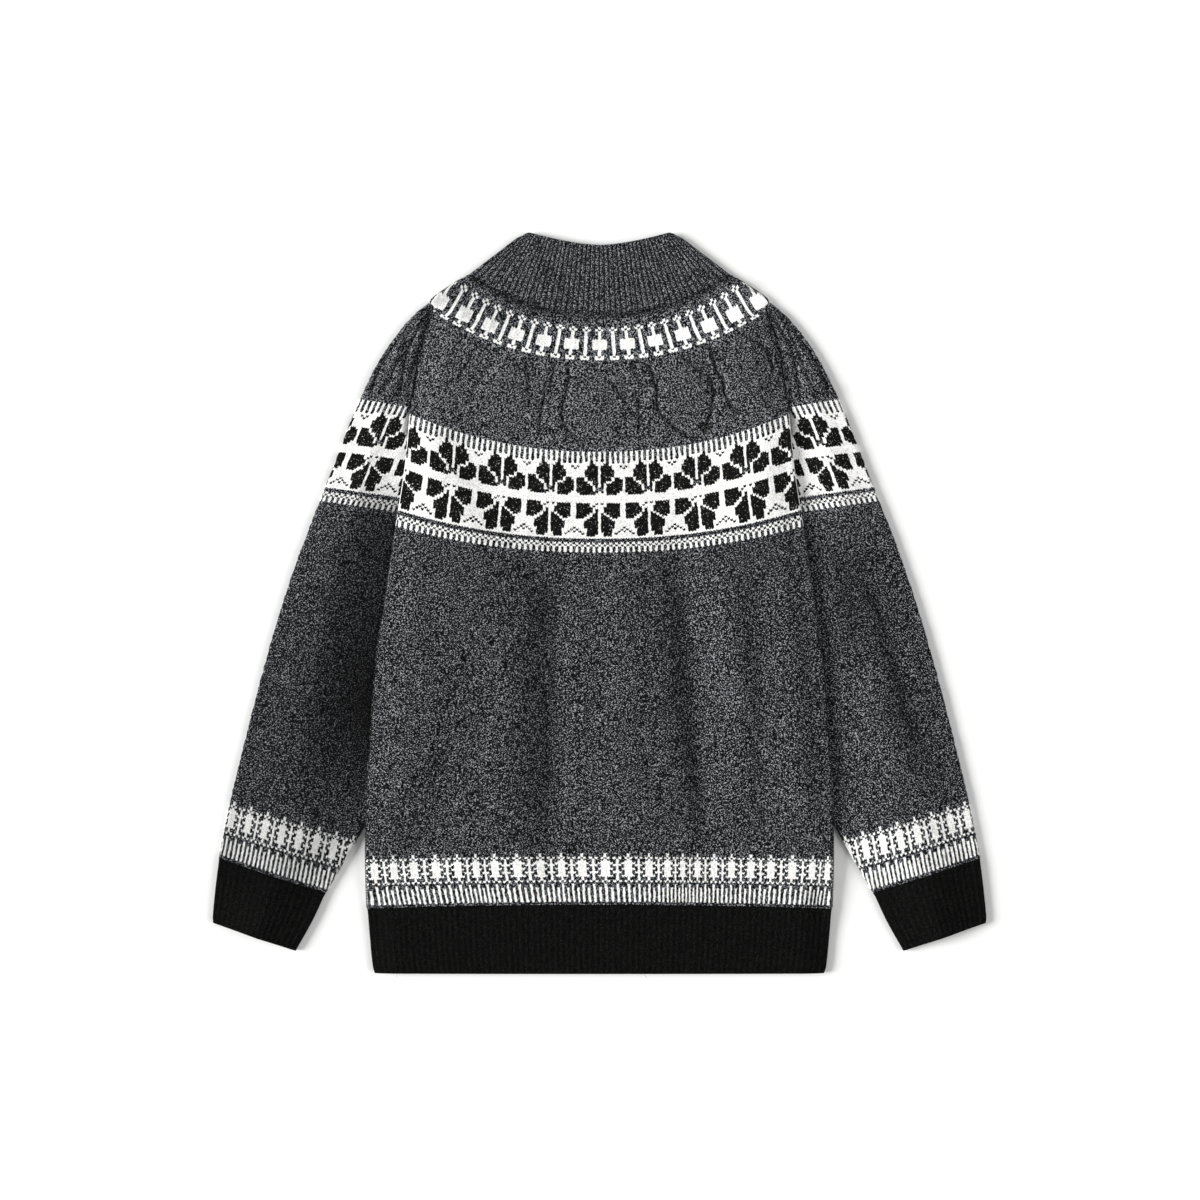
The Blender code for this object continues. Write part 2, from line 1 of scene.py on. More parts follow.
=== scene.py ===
# Nordic yoke sweater in charcoal melange wool, laid flat on its front with its back up.
# Lengths are in millimetres until a mesh is made. A height, h, runs from the hem's edge to the collar.

import math
from functools import partial

import bmesh
import bpy
import numpy as np
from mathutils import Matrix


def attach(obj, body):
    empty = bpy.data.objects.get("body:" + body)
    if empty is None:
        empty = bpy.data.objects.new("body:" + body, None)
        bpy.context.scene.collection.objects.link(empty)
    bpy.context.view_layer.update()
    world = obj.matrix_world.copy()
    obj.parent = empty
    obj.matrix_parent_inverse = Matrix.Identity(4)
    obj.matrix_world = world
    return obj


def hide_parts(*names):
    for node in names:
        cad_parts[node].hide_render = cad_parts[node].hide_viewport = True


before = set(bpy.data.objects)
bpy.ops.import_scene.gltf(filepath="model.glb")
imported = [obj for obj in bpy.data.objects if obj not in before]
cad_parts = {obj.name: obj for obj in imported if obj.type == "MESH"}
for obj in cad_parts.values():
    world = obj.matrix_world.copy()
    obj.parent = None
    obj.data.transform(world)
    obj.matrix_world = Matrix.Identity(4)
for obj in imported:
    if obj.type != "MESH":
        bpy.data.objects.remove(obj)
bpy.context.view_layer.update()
print("frame loaded:", len(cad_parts), "nodes")

mm = 0.001
cloth = dict(
    length=742.6,  # hem edge to the collar's corners
    wall=2.6,  # the knitted fabric
    seam=0.3,  # between two pieces sewn together
    edgeRadius=3.1,  # of the fold where two layers turn round at an edge
    edgeAir=1.0,  # between two layers at such a fold
    leastAir=0.5,
    mostAir=9.0,
    airRun=28.0,  # from an edge to where the air between two layers is full
    loose=0.5,  # how far a stitch strays
    lowerDarkening=0.11,  # how much darker the cloth is below the yoke
    lowerDarkeningTop=420.0,
    lowerDarkeningRun=90.0,  # over which it stops above that height
    seed=7,
)
radius, wall = cloth["edgeRadius"], cloth["wall"]
quarter = radius * math.pi / 2  # the length of cloth round a fold's quarter turn
nearEdge = 0.97  # the share of a course whose point shows which way it leaves its edge
foldFade = 0.3  # the share of a fold's length over which it dies away at each end


def smooth(t):
    t = np.clip(t, 0.0, 1.0)
    return t * t * (3.0 - 2.0 * t)


def mix(a, b, t):
    return a + (b - a) * t


def between(h, low, rise, high, fall):  # 1 between two heights, fading out below and above them
    return smooth((h - low) / rise) * (1 - smooth((h - high) / fall))


def follow(keys, values, at):  # a smooth curve through a table's points, without overshoot
    order = np.argsort(keys)
    keys, values = np.asarray(keys, float)[order], np.asarray(values, float)[order]
    step = np.diff(keys)
    slope = np.diff(values) / step
    before, after = slope[:-1], slope[1:]
    both = np.where(np.abs(before + after) < 1e-12, 1.0, before + after)
    bends = np.where(before * after <= 0, 0.0, 2 * before * after / both)
    tangent = np.concatenate([slope[:1], bends, slope[-1:]])
    i = np.clip(np.searchsorted(keys, at, side="right") - 1, 0, len(step) - 1)
    t = np.clip((at - keys[i]) / step[i], 0.0, 1.0)
    blend = t * t * (3 - 2 * t)
    bend = step[i] * t * (1 - t) * (tangent[i] * (1 - t) - tangent[i + 1] * t)
    return values[i] * (1 - blend) + values[i + 1] * blend + bend


def placed(name, data):  # a new object in the scene
    thing = bpy.data.objects.new(name, data)
    bpy.context.scene.collection.objects.link(thing)
    return thing


def metres(points):  # with the middle of the length at the origin
    return (points - (0, cloth["length"] / 2, 0)) * mm


def distance(a, b):
    return np.hypot(b[0] - a[0], b[1] - a[1])


def direction(a, b):
    run = distance(a, b)
    return (b[0] - a[0]) / run, (b[1] - a[1]) / run


# Each row: the course's height on the centre line, its half width, its height at the side, and how much
# lower it hangs on the front.
bodyCut = dict(
    courses=np.array([
        (69.1, 232.5, 65.1, 0), (119.6, 233.5, 116.6, 0), (182.6, 232.5, 182.6, 0),
        (239.6, 228, 244.6, 0), (296.6, 223.5, 309, 0), (353.6, 214.5, 372.6, 3),
        (421.6, 203.7, 448.1, 10), (474.9, 194.3, 509.9, 18), (522.1, 189.5, 560.1, 26),
        (568.6, 182, 612.6, 35), (595.6, 174.5, 641.6, 40), (613.6, 167, 662.6, 43),
        (619.6, 166.2, 666, 44), (625.6, 170.2, 672, 45), (637.6, 153.5, 686.4, 46),
        (646.6, 141, 694.2, 46), (657.6, 132.5, 698.1, 46),
    ]),
    armholeTop=666.0,  # above it the body's edge is its shoulder
    bow=2.2,  # how a course bends up towards the side, as a power
    air=4.6,
    tuckedLift=6.6,  # where the body lies on a tucked sleeve
    liftMargin=10.0,
    liftRun=60.0,
    tuckFull=543.5,
    tuckNone=581.5,
    shoulderRun=4.0,
)
# Each row: the course's outer fold and its inner edge, as half widths and heights.
sleeveCut = dict(
    courses=np.array([
        (170.6, 671.3, 166.5, 665.2), (184.6, 660, 169.8, 655.6), (202.4, 640, 177.4, 633.6),
        (222.2, 610.2, 184.4, 603.6), (239.4, 575, 189.2, 566.6), (249.7, 550.6, 191.5, 543.6),
        (258.5, 527.6, 182.5, 518.6), (280, 472.6, 156.5, 454.6), (291.5, 443.6, 133.5, 417.6),
        (309.5, 393.6, 145.5, 361.6), (325.6, 342.6, 161.5, 307.6), (342.5, 281.6, 186.5, 243.6),
        (357, 224.6, 213.5, 186.6), (370, 170.6, 242.5, 133.6), (381, 115.6, 273.5, 80.6),
    ]),
    air=8.5,
    airRun=62.0,
    coverMargin=6.0,  # how far beside the body a sleeve starts to fill out
    underarm=417.6,  # below it the inner edge is a folded seam
    underarmRun=12.0,
    evenAt=0.6,  # where across a row, from its inner edge, the courses are evenly spaced
)
cuffCut = dict(courses=np.array([
    (381.1, 115.2, 273.8, 80.2), (385, 84, 286.5, 53),
    (387.5, 56, 301, 27.2), (386.8, 50.8, 303.8, 22.6),
]))
hemCut = dict(courses=np.array([
    (68.8, 232.5, 64.8, 0), (36, 230.2, 35, 0), (5, 227, 5.3, 0), (0, 225, 0.4, 0),
]))
collarCut = dict(
    seamHalf=132.5,
    seamH=698.4,
    topHalf=74.5,
    topH=742.6,
    bunching=0.32,  # how much closer the ribs stand at the top corners
    corner=2.4,  # how far the top corners are rounded off
    cornerShare=0.2,  # from each end of the top
    cornerHeight=0.18,  # and down from it, as a share of the collar's height
    air=2.2,
    middles={"back": (657.9, 728.6, 2.2, 1.6), "front": (611.9, 684.0, 2.2, 1.8)},  # seam, top, their bows
)

# Soft folds. Each row: across and height of its two ends, half its width, and its rise.
bodyFolds = [
    (-94, 455, -98, 80, 22, 3.4),
    (-46, 450, -48, 85, 14, -3.4),
    (-136, 290, -134, 80, 12, 1.2),
    (24, 455, 34, 80, 26, 3.2),
    (78, 455, 112, 100, 12, -3.8),
    (122, 435, 146, 120, 15, 3.6),
    (158, 430, 168, 170, 9, -1.8),
    (190, 430, 200, 110, 13, 2.2),
    (-176, 440, -186, 110, 22, 1.6),
]
sleeveFolds = {
    "left": [(-214, 475, -262, 180, 14, -2.0)],
    "right": [(252, 445, 344, 185, 10, -3.6), (232, 400, 312, 170, 14, 1.2)],
}

# Painted shade in the back's creases: the wool's colour is darkened there. Each row: ends, half width, and how
# much.
bodyCreaseShade = [
    (-60, 470, -60, 70, 21, 0.42),
    (64, 475, 100, 80, 15, 0.46),
    (152, 450, 158, 150, 12, 0.16),
    (-117, 290, -116, 80, 12, 0.08),
]
# A sleeve also gets painted shade: the body's shadow painted beside the body, strongest at the body's edge, and a
# painted shade all over its upper layer, by shade.
sleeveShades = {
    "left": dict(
        creases=[(-250, 470, -306, 150, 30, 0.12)], bodyShadow=0.62, bodyShadowWidth=52, shade=0.34, upperShare=0.35,
    ),
    "right": dict(
        creases=[(242, 460, 336, 165, 18, 0.4), (234, 450, 258, 290, 14, 0.42)],
        bodyShadow=0.16, bodyShadowWidth=14, shade=0.0, upperShare=1.0,
    ),
}
# The heights between which that painted shadow and shade hold: low, its fade, high, its fade. Only upperShare of
# shade is left from upperFrom up.
sleeveShadeHeights = dict(beside=(120, 160, 440, 60), shade=(60, 60, 460, 100), upperFrom=240, upperRun=170)


def foldRise(folds, x, h):
    rise = 0.0
    for x0, h0, x1, h1, width, most in folds:
        (alongX, alongH), run = direction((x0, h0), (x1, h1)), math.hypot(x1 - x0, h1 - h0)
        along = (x - x0) * alongX + (h - h0) * alongH
        aside = (x - x0) * alongH - (h - h0) * alongX
        fade = smooth(along / (foldFade * run)) * smooth((run - along) / (foldFade * run))
        rise = rise + most * fade * np.exp(-((aside / width) ** 2))
    return rise


def bodyEdge(h):
    table = bodyCut["courses"][:13]
    return follow(table[:, 2], table[:, 1], h)


def armEdge(column, h):  # 0 is the sleeve's outer fold and 2 is its inner edge
    table = np.concatenate([sleeveCut["courses"][1:], cuffCut["courses"][1:3]])
    return follow(table[:, column + 1], table[:, column], h)


def tucked(h):  # 1 where the body lies on the tucked sleeves
    full, none = bodyCut["tuckFull"], bodyCut["tuckNone"]
    return 1.0 - smooth((h - full) / (none - full))


def lift(x, h):  # the body's front passes over the tucked sleeves
    beside = (armEdge(2, h) - np.abs(x) - bodyCut["liftMargin"]) / bodyCut["liftRun"]
    return bodyCut["tuckedLift"] * tucked(h) * (1.0 - smooth(beside))


def airBetween(full, room, rise, run=cloth["airRun"]):
    wanted = cloth["edgeAir"] + (full - cloth["edgeAir"] + rise) * smooth(room / run)
    return np.clip(wanted, cloth["leastAir"], cloth["mostAir"])


def bodyAir(x, h):
    return airBetween(bodyCut["air"], bodyEdge(h) - np.abs(x) - radius, foldRise(bodyFolds, x, h))


def sleeveAir(side, x, h):
    covered = np.where(h > cuffCut["courses"][0, 1], bodyEdge(h) + sleeveCut["coverMargin"], 0.0)
    room = np.minimum(armEdge(0, h) - np.abs(x), np.abs(x) - np.maximum(covered, armEdge(2, h)))
    return airBetween(sleeveCut["air"], room, foldRise(sleeveFolds[side], x, h), sleeveCut["airRun"])


def rimPoint(edge, inward, lower, up, closing, turn, inside, seam):  # turn: 0 flat, 1 at the very edge
    bend = radius - wall if inside else radius
    cos, sin = np.sin(turn * math.pi / 2), np.cos(turn * math.pi / 2)
    reach = mix(radius * (1 - cos), radius - bend * cos, closing)
    height = mix(up * bend, up * (bend * sin + seam / 2 * (1 - sin)), closing)
    return edge[0] + inward[0] * reach, edge[1] + inward[1] * reach, lower + radius + height


def across(point, s, half, total):  # along a course: the flat place, the edge, the way in from it, the turn
    sign, reach = np.where(s < 0, -1.0, 1.0), np.abs(s)
    edge = point(sign)
    turn = np.clip((reach - half + radius) / (total - half + radius), 0, 1)
    flat = point(sign * np.minimum(reach, half - radius) / half)
    return flat, edge, direction(edge, point(sign * nearEdge)), turn


class Panel:  # a front or back panel: how wide its courses are, and where their points lie
    def __init__(self, table, up, closed=None, bow=bodyCut["bow"]):
        self.table, self.up, self.closed, self.bow = table, up, closed, bow

    def course(self, v):
        half, edgeH, drop = (follow(self.table[:, 0], self.table[:, i], v) for i in (1, 2, 3))
        return half, edgeH, v - (drop if self.up < 0 else 0.0)

    def closing(self, h):
        if self.closed is not None:
            return np.full_like(h, self.closed)
        above = (h - bodyCut["armholeTop"]) / bodyCut["shoulderRun"]
        return np.maximum(tucked(h), smooth(above))

    def total(self, v):  # from the centre line to the edge, round its curl
        half, edgeH, _ = self.course(v)
        return half - radius + mix(radius, quarter, self.closing(edgeH))

    def along(self, v):  # the length along the bowed course, at places across it
        half, edgeH, middleH = self.course(v)
        across = np.linspace(0, float(self.total(v)), 80)
        slope = self.bow * (edgeH - middleH) / half * (np.minimum(across, half) / half) ** (self.bow - 1)
        return np.concatenate([[0], np.cumsum(np.hypot(1, slope[1:]) * across[1])]), across

    def place(self, s, v, inside, rise):
        half, edgeH, middleH = self.course(v)
        point = lambda share: (share * half, middleH + (edgeH - middleH) * np.abs(share) ** self.bow)
        (x, h), edge, inward, turn = across(point, s, half, self.total(v))
        z = lift(x, h)
        if self.up > 0:
            z = z + 2 * wall + bodyAir(x, h) + (-wall if inside else rise)
        elif inside:
            z = z + wall
        closing = self.closing(edge[1])
        rim = rimPoint(edge, inward, lift(*edge), self.up, closing, turn, inside, cloth["seam"])
        level = 0.0 if inside or self.up < 0 else rise * (1 - closing)
        return [np.where(turn > 0, r, p) for r, p in zip((rim[0], rim[1], rim[2] + level), (x, h, z))]

    # Painted shade in the back's creases.
    def tone(self, x, h, s):
        return foldRise(bodyCreaseShade, x, h) if self.up > 0 else 0.0 * x


class Tube:  # a sleeve or cuff: s is measured from its outer fold, over the upper layer where positive
    def __init__(self, table, side, closed=None):
        self.table, self.side, self.closed = table, side, closed
        self.sign = -1 if side == "left" else 1

    def course(self, v):
        at = np.arange(len(self.table), dtype=float)
        outerX, outerH, innerX, innerH = (follow(at, self.table[:, i], v) for i in range(4))
        if self.closed is None:
            innerX = np.where(innerH > bodyCut["tuckFull"], bodyEdge(innerH) + cloth["seam"], innerX)
        closing = self.closed
        if closing is None:
            closing = smooth((sleeveCut["underarm"] - innerH) / sleeveCut["underarmRun"])
        return (self.sign * outerX, outerH), (self.sign * innerX, innerH), closing + 0.0 * outerX

    def total(self, v):
        outer, inner, closing = self.course(v)
        run = distance(outer, inner)
        return quarter + run - 2 * radius + mix(radius, quarter, closing)

    def along(self, v):
        whole = np.array([0.0, float(self.total(v))])
        return whole, whole

    def place(self, s, v, inside, rise):
        outer, inner, closing = self.course(v)
        inward = direction(outer, inner)
        run = distance(outer, inner)
        up, reach, total = np.where(s < 0, -1.0, 1.0), np.abs(s), self.total(v)
        away = np.clip(reach - quarter + radius, radius, run - radius)
        x, h = outer[0] + inward[0] * away, outer[1] + inward[1] * away
        above = 2 * wall + sleeveAir(self.side, x, h) + (-wall if inside else rise)
        z = np.where(up > 0, above, wall if inside else 0.0)
        fold = rimPoint(outer, inward, 0.0, up, 1.0, np.clip(1 - reach / quarter, 0, 1), inside, 0.0)
        start = reach - quarter - run + 2 * radius
        turn = np.clip(start / (total - quarter - run + 2 * radius), 0, 1)
        rim = rimPoint(inner, (-inward[0], -inward[1]), 0.0, up, closing, turn, inside, cloth["seam"])
        level = 0.0 if inside else np.where(up > 0, rise * (1 - closing), 0.0)
        rim = (rim[0], rim[1], rim[2] + level)
        out = [np.where(reach < quarter, f, p) for f, p in zip(fold, (x, h, z))]
        return [np.where(turn > 0, r, p) for r, p in zip(rim, out)]

    # Painted shade: in a sleeve's creases, the body's shadow painted beside it, and a shade painted over its upper
    # layer.
    def tone(self, x, h, s):
        look = sleeveShades[self.side]
        beside = np.abs(x) - bodyEdge(h)
        near = look["bodyShadow"] * np.exp(-((np.maximum(beside, 0) / look["bodyShadowWidth"]) ** 2))
        near = near * between(h, *sleeveShadeHeights["beside"])
        upper = smooth((h - sleeveShadeHeights["upperFrom"]) / sleeveShadeHeights["upperRun"])
        shade = look["shade"] * between(h, *sleeveShadeHeights["shade"]) * mix(1.0, look["upperShare"], upper)
        return np.where(s > 0, foldRise(look["creases"], x, h) + near + shade, 0.0)


class Ring:  # the collar: s runs along its back from the left fold to the right one, then along its front
    def half(self, v):
        return mix(collarCut["seamHalf"], collarCut["topHalf"], v)

    def total(self, v):
        return self.half(v) - radius + quarter

    def tone(self, x, h, s):
        return 0.0 * x

    def place(self, s, v, inside, rise):
        c, total, half = collarCut, self.total(v), self.half(v)
        onBack = s <= total
        s = np.where(onBack, s, 2 * total - s)
        middles = zip(c["middles"]["back"], c["middles"]["front"])
        seamH, topH, seamBow, topBow = (np.where(onBack, b, f) for b, f in middles)
        up = np.where(onBack, 1.0, -1.0)

        def point(share):
            gathered = share * (1 + c["bunching"] * (1 - share * share))
            seam = (share * c["seamHalf"], mix(seamH, c["seamH"], np.abs(share) ** seamBow))
            top = (gathered * c["topHalf"], mix(topH, c["topH"], np.abs(gathered) ** topBow))
            atEnd = smooth((np.abs(share) - 1) / c["cornerShare"] + 1) ** 2
            off = c["corner"] * atEnd * smooth((v - 1) / c["cornerHeight"] + 1)
            return mix(seam[0], top[0], v), mix(seam[1], top[1], v) - off

        (x, h), edge, inward, turn = across(point, s, half, total)
        above = 2 * wall + airBetween(c["air"], half - np.abs(x), 0.0) + (-wall if inside else rise)
        z = np.where(up > 0, above, wall if inside else 0.0)
        rim = rimPoint(edge, inward, 0.0, up, 1.0, turn, inside, 0.0)
        return [np.where(turn > 0, r, p) for r, p in zip(rim, (x, h, z))]


# Charts, from the collar side down. w is white yarn, # black, and . the ground of the band.
crossChart = """w....w.... .w..w.w..w w....w.... w....w.... w....w.... w....w....
w..wwwww.. w..wwwww.. w..wwwww.. w..wwwww.. w..wwwww..
w....w.... w....w.... w....w.... .w..w.w..w ww..www..w""".split()
hemChart = """....w... ....w... .w.w.w.w w...w... w..www.. w.wwwww. ww.www.w w..www..
w.wwwww. w..www.. ww.www.w w..www.. w.wwwww. w...w... w...w... .w.w.w.w ........ w...w...
w...w... w.w.w.w. w.w.w.w. w.w.w.w. w.w.w.w. w.w.w.w. w.w.w.w. w.w.w.w. w.w.w.w. ........
........""".split()
upperFlower = """#.#...#.....#.#.#. ......##...##..... .#...####.####...# #....####.####....
....#####.#####... ....#####.#####... ....#####.#####... ....#####.#####...
.###.####.####.##. .###.####.####.### .####..##.##..#### .#####.##.#.######
.######.#.#.###### .######.gg#.###### .######.ggg.###### .########.#.#####. ..######....####..""".split()
lowerFlower = """.#####..#.#.#####. .#####.#....#####. .######....######. .######.#..######.
.######.#..######. .#####.##.#.#####. .####..##.##.####. .###..###.###.##..
.....####.####.... ....#####.#####... ....#####.#####... ....#####.#####...
#...#####.#####... .#...####.####...# #.#..####.####..#. ...#.####..###.#.. .....###...###....""".split()
flowers = upperFlower + ["w" * 18] * 4 + lowerFlower + ["w" * 18]
flowerRows = [".w" * 9] * 5 + [row.replace(".", "w") for row in flowers]
flowerRows += ["." * 18] * 2 + [".w" * 9, "w." * 9] + [".w" * 9] * 3
yarns = {".": 0, "g": 0, "w": 1, "#": 2}


def chart(rows):  # yarn numbers by course, from the bottom, and by wale
    return np.array([[yarns[stitch] for stitch in row] for row in rows[::-1]])


# How the wales crowd across the hem band, by shares of its half width, and how far they lean at its foot.
hemCrowding = dict(
    wales=(-1, -0.95, -0.79, -0.62, -0.46, -0.29, -0.12, 0.04, 0.21, 0.38, 0.54, 0.71, 0.88, 0.96, 1),
    places=(-1, -0.95, -0.79, -0.6, -0.45, -0.25, -0.07, 0.12, 0.29, 0.42, 0.56, 0.73, 0.91, 0.97, 1),
    leans=(0, 6, 7, 7, 6.5, 5, 3.2, 2, 0.7, 0, -0.7, -2, -3.8, -4.2, 0),
    steeper=1.7,  # a power: the lean grows towards the foot
)


# More: the wales across the half or their pitch at foot and top, the chart's shift, and how much fuller its
# white stitches are.
def zone(low, high, courses, chart, **more):
    return dict(low=low, high=high, courses=courses, chart=chart, **more)


plainChart, blackChart = np.array([[0]]), np.array([[2]])
hemBand, flowerBand, crossBand = chart(hemChart), chart(flowerRows), chart(crossChart)
bodyZones = [
    zone(69.1, 121.1, 29, hemBand, wales=192, crowding=hemCrowding, fuller=-0.35),
    zone(123.1, 419.4, 123, plainChart, wales=168),
    zone(421.6, 522.1, 51, flowerBand, wales=144, shift=9, fuller=-0.3),
    zone(524.3, 611.4, 37, plainChart, wales=132),
    zone(613.6, 646.6, 16, crossBand, pitch=(2.98, 2.58), shift=5, fuller=0.8),
    zone(648.6, 657.6, 4, plainChart, pitch=(2.56, 2.5)),
]
frontZones = bodyZones[:4] + [  # its courses slope more at the neck, so its wales narrow with it there
    zone(613.6, 646.6, 16, crossBand, wales=120, shift=5),
    zone(648.6, 657.6, 4, plainChart, wales=120),
]
sleeveZones = [  # low and high are rows of the sleeve's cut, from the cuff up
    zone(14.0, 12.94, 29, hemBand, pitch=(2.22, 2.22), shift=1, fuller=-0.3),
    zone(12.9, 7.02, 130, plainChart, pitch=(2.75, 2.75)),
    zone(6.98, 4.0, 51, flowerBand, pitch=(2.7, 2.7), shift=-5, fuller=-0.3),
    zone(3.93, 0.0, 47, plainChart, pitch=(2.7, 2.7)),
]
# A rib's crests, from the middle of one dip to the next, and with them the shade painted in a rib's dips, which
# fades up the rib by the power dipFade.
wideRib, narrowRib, dipFade = (0.0, 0.55, 0.92, 1.0, 0.94, 1.0, 0.92, 0.55), (0.0, 0.72, 1.0, 0.72), 1.2
ribZones = dict(
    collar=[zone(0.0, 1.0, 30, plainChart, wales=192, rib=wideRib, dipDark=0.78)],
    hem=[zone(0.0, 68.8, 29, blackChart, wales=160, rib=narrowRib, dipDark=0.2)],
    cuff=[zone(3.0, 0.0, 26, blackChart, wales=72, rib=narrowRib, dipDark=0.2)],
)

looseness = dict(
    across=0.36,  # how far a stitch strays at most, as a share of the way to the next
    slope=0.2,  # and where its course slopes, by the gap to the next course
    over=0.18,  # up and down, as a share of that gap
    room=0.44,  # with what the white yarn adds
    steep=0.3,  # the slope from which the stitches lie more evenly
    steepRun=0.5,
    leastGap=0.1,
)


def evenRows(shape, zone):  # the course positions of a zone, evenly spaced along the cloth
    fine = np.linspace(zone["low"], zone["high"], 200)
    if isinstance(shape, Tube):
        outer, inner, _ = shape.course(fine)
        x, h = (mix(inner[i], outer[i], sleeveCut["evenAt"]) for i in (0, 1))
        run = np.concatenate([[0], np.cumsum(np.hypot(np.diff(x), np.diff(h)))])
    else:
        run = np.linspace(0, 1, 200)
    return np.interp(np.linspace(0, run[-1], zone["courses"] + 1), run, fine)


def whiteFuller(zone, j, k):  # which way an edge leans, from a white stitch towards one of another colour
    chart, near = zone["chart"], 0.0
    for course in (j - 1, j):
        whites = chart[course % len(chart)] == 1
        wales = (k - 1) // 2, (k + 1) // 2
        left, right = (whites[(wale + zone.get("shift", 0)) % len(whites)] for wale in wales)
        near = near + 0.5 * (left.astype(float) - right)
    return np.where(k % 2 == 0, 0.0, near)


def knitRows(shape, zones, relief):
    rows, counted = [], 0
    ribbed, ring = "rib" in zones[0], isinstance(shape, Ring)
    random = np.random.default_rng(cloth["seed"])
    for number, zone in enumerate(zones):
        vs = evenRows(shape, zone)
        for j, v in enumerate(vs):
            first, last = number == 0 and j == 0, number == len(zones) - 1 and j == len(vs) - 1
            drop = 0.0 if first or last else 0.5 * (vs[1] - vs[0] if j == 0 else v - vs[j - 1])
            if "pitch" in zone:
                half = mix(*zone["pitch"], j / zone["courses"]) / 2
                most = int(round(float(shape.along(v)[0][-1]) / half))
            else:
                most = zone["wales"]
            k = np.arange(-most, 3 * most if ring else most + 1)
            if ribbed:  # a rib's valley, its flank, its top and its other flank, in turn
                profile = np.array(zone["rib"])
                crest, low = profile[k % len(profile)], (k % len(profile)) == len(profile) // 2
                crest = np.ones(len(k)) if first or last else crest
            else:
                crest, low = np.where(k % 2 == 0, 1.0, 0.0), k % 2 == 0
            inner = np.abs(k) < most - 1
            if "pitch" in zone:
                low = low & inner
            at = v - drop * low
            total = shape.total(at)
            s = k / most * total
            if "pitch" in zone:  # even along the cloth, so closer together where a course slopes
                spaced = np.interp(np.abs(k) * half, *shape.along(at[0]))
                s = np.sign(k) * np.where(np.abs(k) < most, spaced, total)
            if "crowding" in zone:
                c, t = zone["crowding"], k / most
                foot = (zone["high"] - v) / (zone["high"] - zone["low"])
                lean = foot ** c["steeper"] * follow(c["wales"], c["leans"], t)
                s = total * follow(c["wales"], c["places"], t) + lean
            # Each relief gives a rise and the shade painted in its grooves and seams; a rib adds the shade painted
            # in its dips.
            rise, paintedShade = relief(s / total, at, s, total)
            if ribbed:
                paintedShade = np.maximum(paintedShade, zone["dipDark"] * (1 - crest) ** dipFade)
            x, h, z = shape.place(s, at, False, rise)
            if 0 < j < len(vs) - 1 and not ribbed:  # hand-loose stitches never line up exactly
                gap = np.abs(shape.place(s, at + vs[1] - vs[0], False, rise)[1] - h)
                wider, closer = zone.get("pitch", (1, 1))
                shrink = abs(closer / wider - 1) / zone["courses"]
                c = looseness
                gap = np.maximum(gap - np.abs(np.gradient(h) * k) * shrink, c["leastGap"])
                wide, lean = np.abs(np.gradient(s)), np.abs(np.gradient(h)) + 0.5 * gap
                near = np.minimum(cloth["loose"], wide * np.minimum(c["across"], c["slope"] * gap / lean))
                over = np.minimum(cloth["loose"], c["over"] * gap)
                full = whiteFuller(zone, j, k) * zone.get("fuller", 0.0) * near
                room = c["room"] * wide
                even = 1 - smooth((np.abs(np.gradient(h) / wide) - c["steep"]) / c["steepRun"])
                stray = random.uniform(-1, 1, len(k)) * near * even
                x = x + inner * np.clip(stray + full, -room, room)
                h = h + inner * random.uniform(-1, 1, len(k)) * over * even
            darkerBelowYoke = cloth["lowerDarkening"] * (1 - smooth((h - cloth["lowerDarkeningTop"]) / cloth["lowerDarkeningRun"]))
            # With each course: its crests, its painted shade, and how much darker it is below the yoke.
            rows.append(dict(
                co=np.stack([x, h, z], 1), k=k, t=s / total, v=v, zone=number, shift=zone.get("shift", 0),
                crest=crest, paintedShade=shape.tone(x, h, s) + paintedShade, darkerBelowYoke=darkerBelowYoke,
                uv=np.stack([k / (len(zone["rib"]) if ribbed else 2), np.full(len(k), counted + j) - 0.5 * low], 1),
                yarn=zone["chart"][j % len(zone["chart"])] if j < len(vs) - 1 else None,
            ))
        counted += len(vs)
    return rows


def zipped(a, b, ta, tb):  # faces between two lines of vertices, matched by their shares along it
    faces, i, j = [], 0, 0
    while i < len(a) - 1 or j < len(b) - 1:
        if j == len(b) - 1 or (i < len(a) - 1 and ta[i + 1] <= tb[j + 1]):
            faces.append((a[i], a[i + 1], b[j]))
            i += 1
        else:
            faces.append((a[i], b[j + 1], b[j]))
            j += 1
    return faces


def strip(a, b, ring):  # the stitches between two courses, and the half wale that each lies on
    if a["zone"] != b["zone"]:
        return [(face, None) for face in zipped(a["index"], b["index"], a["t"], b["t"])]
    ai, bi = a["index"], b["index"]
    low, high = max(a["k"][0], b["k"][0]), min(a["k"][-1], b["k"][-1])
    pa, pb = ai[low - a["k"][0]: high - a["k"][0] + 1], bi[low - b["k"][0]: high - b["k"][0] + 1]
    ks = np.arange(low, high)
    faces = list(zip(zip(pa[:-1], pa[1:], pb[1:], pb[:-1]), ks))
    for row, other, onto in ((a, pb, 1), (b, pa, 0)):
        start, end = row["index"][: low - row["k"][0] + 1], row["index"][high - row["k"][0]:]
        for part, corner in ((start, other[0]), (end, other[-1])):
            for p, q in zip(part[:-1], part[1:]):
                faces.append(((p, q, corner) if onto else (q, p, corner), None))
    if ring:
        faces.append(((ai[-1], ai[0], bi[0], bi[-1]), a["k"][-1]))
    return faces


def plainRelief(t, v, s, total):
    return 0.0 * s, 0.0 * s


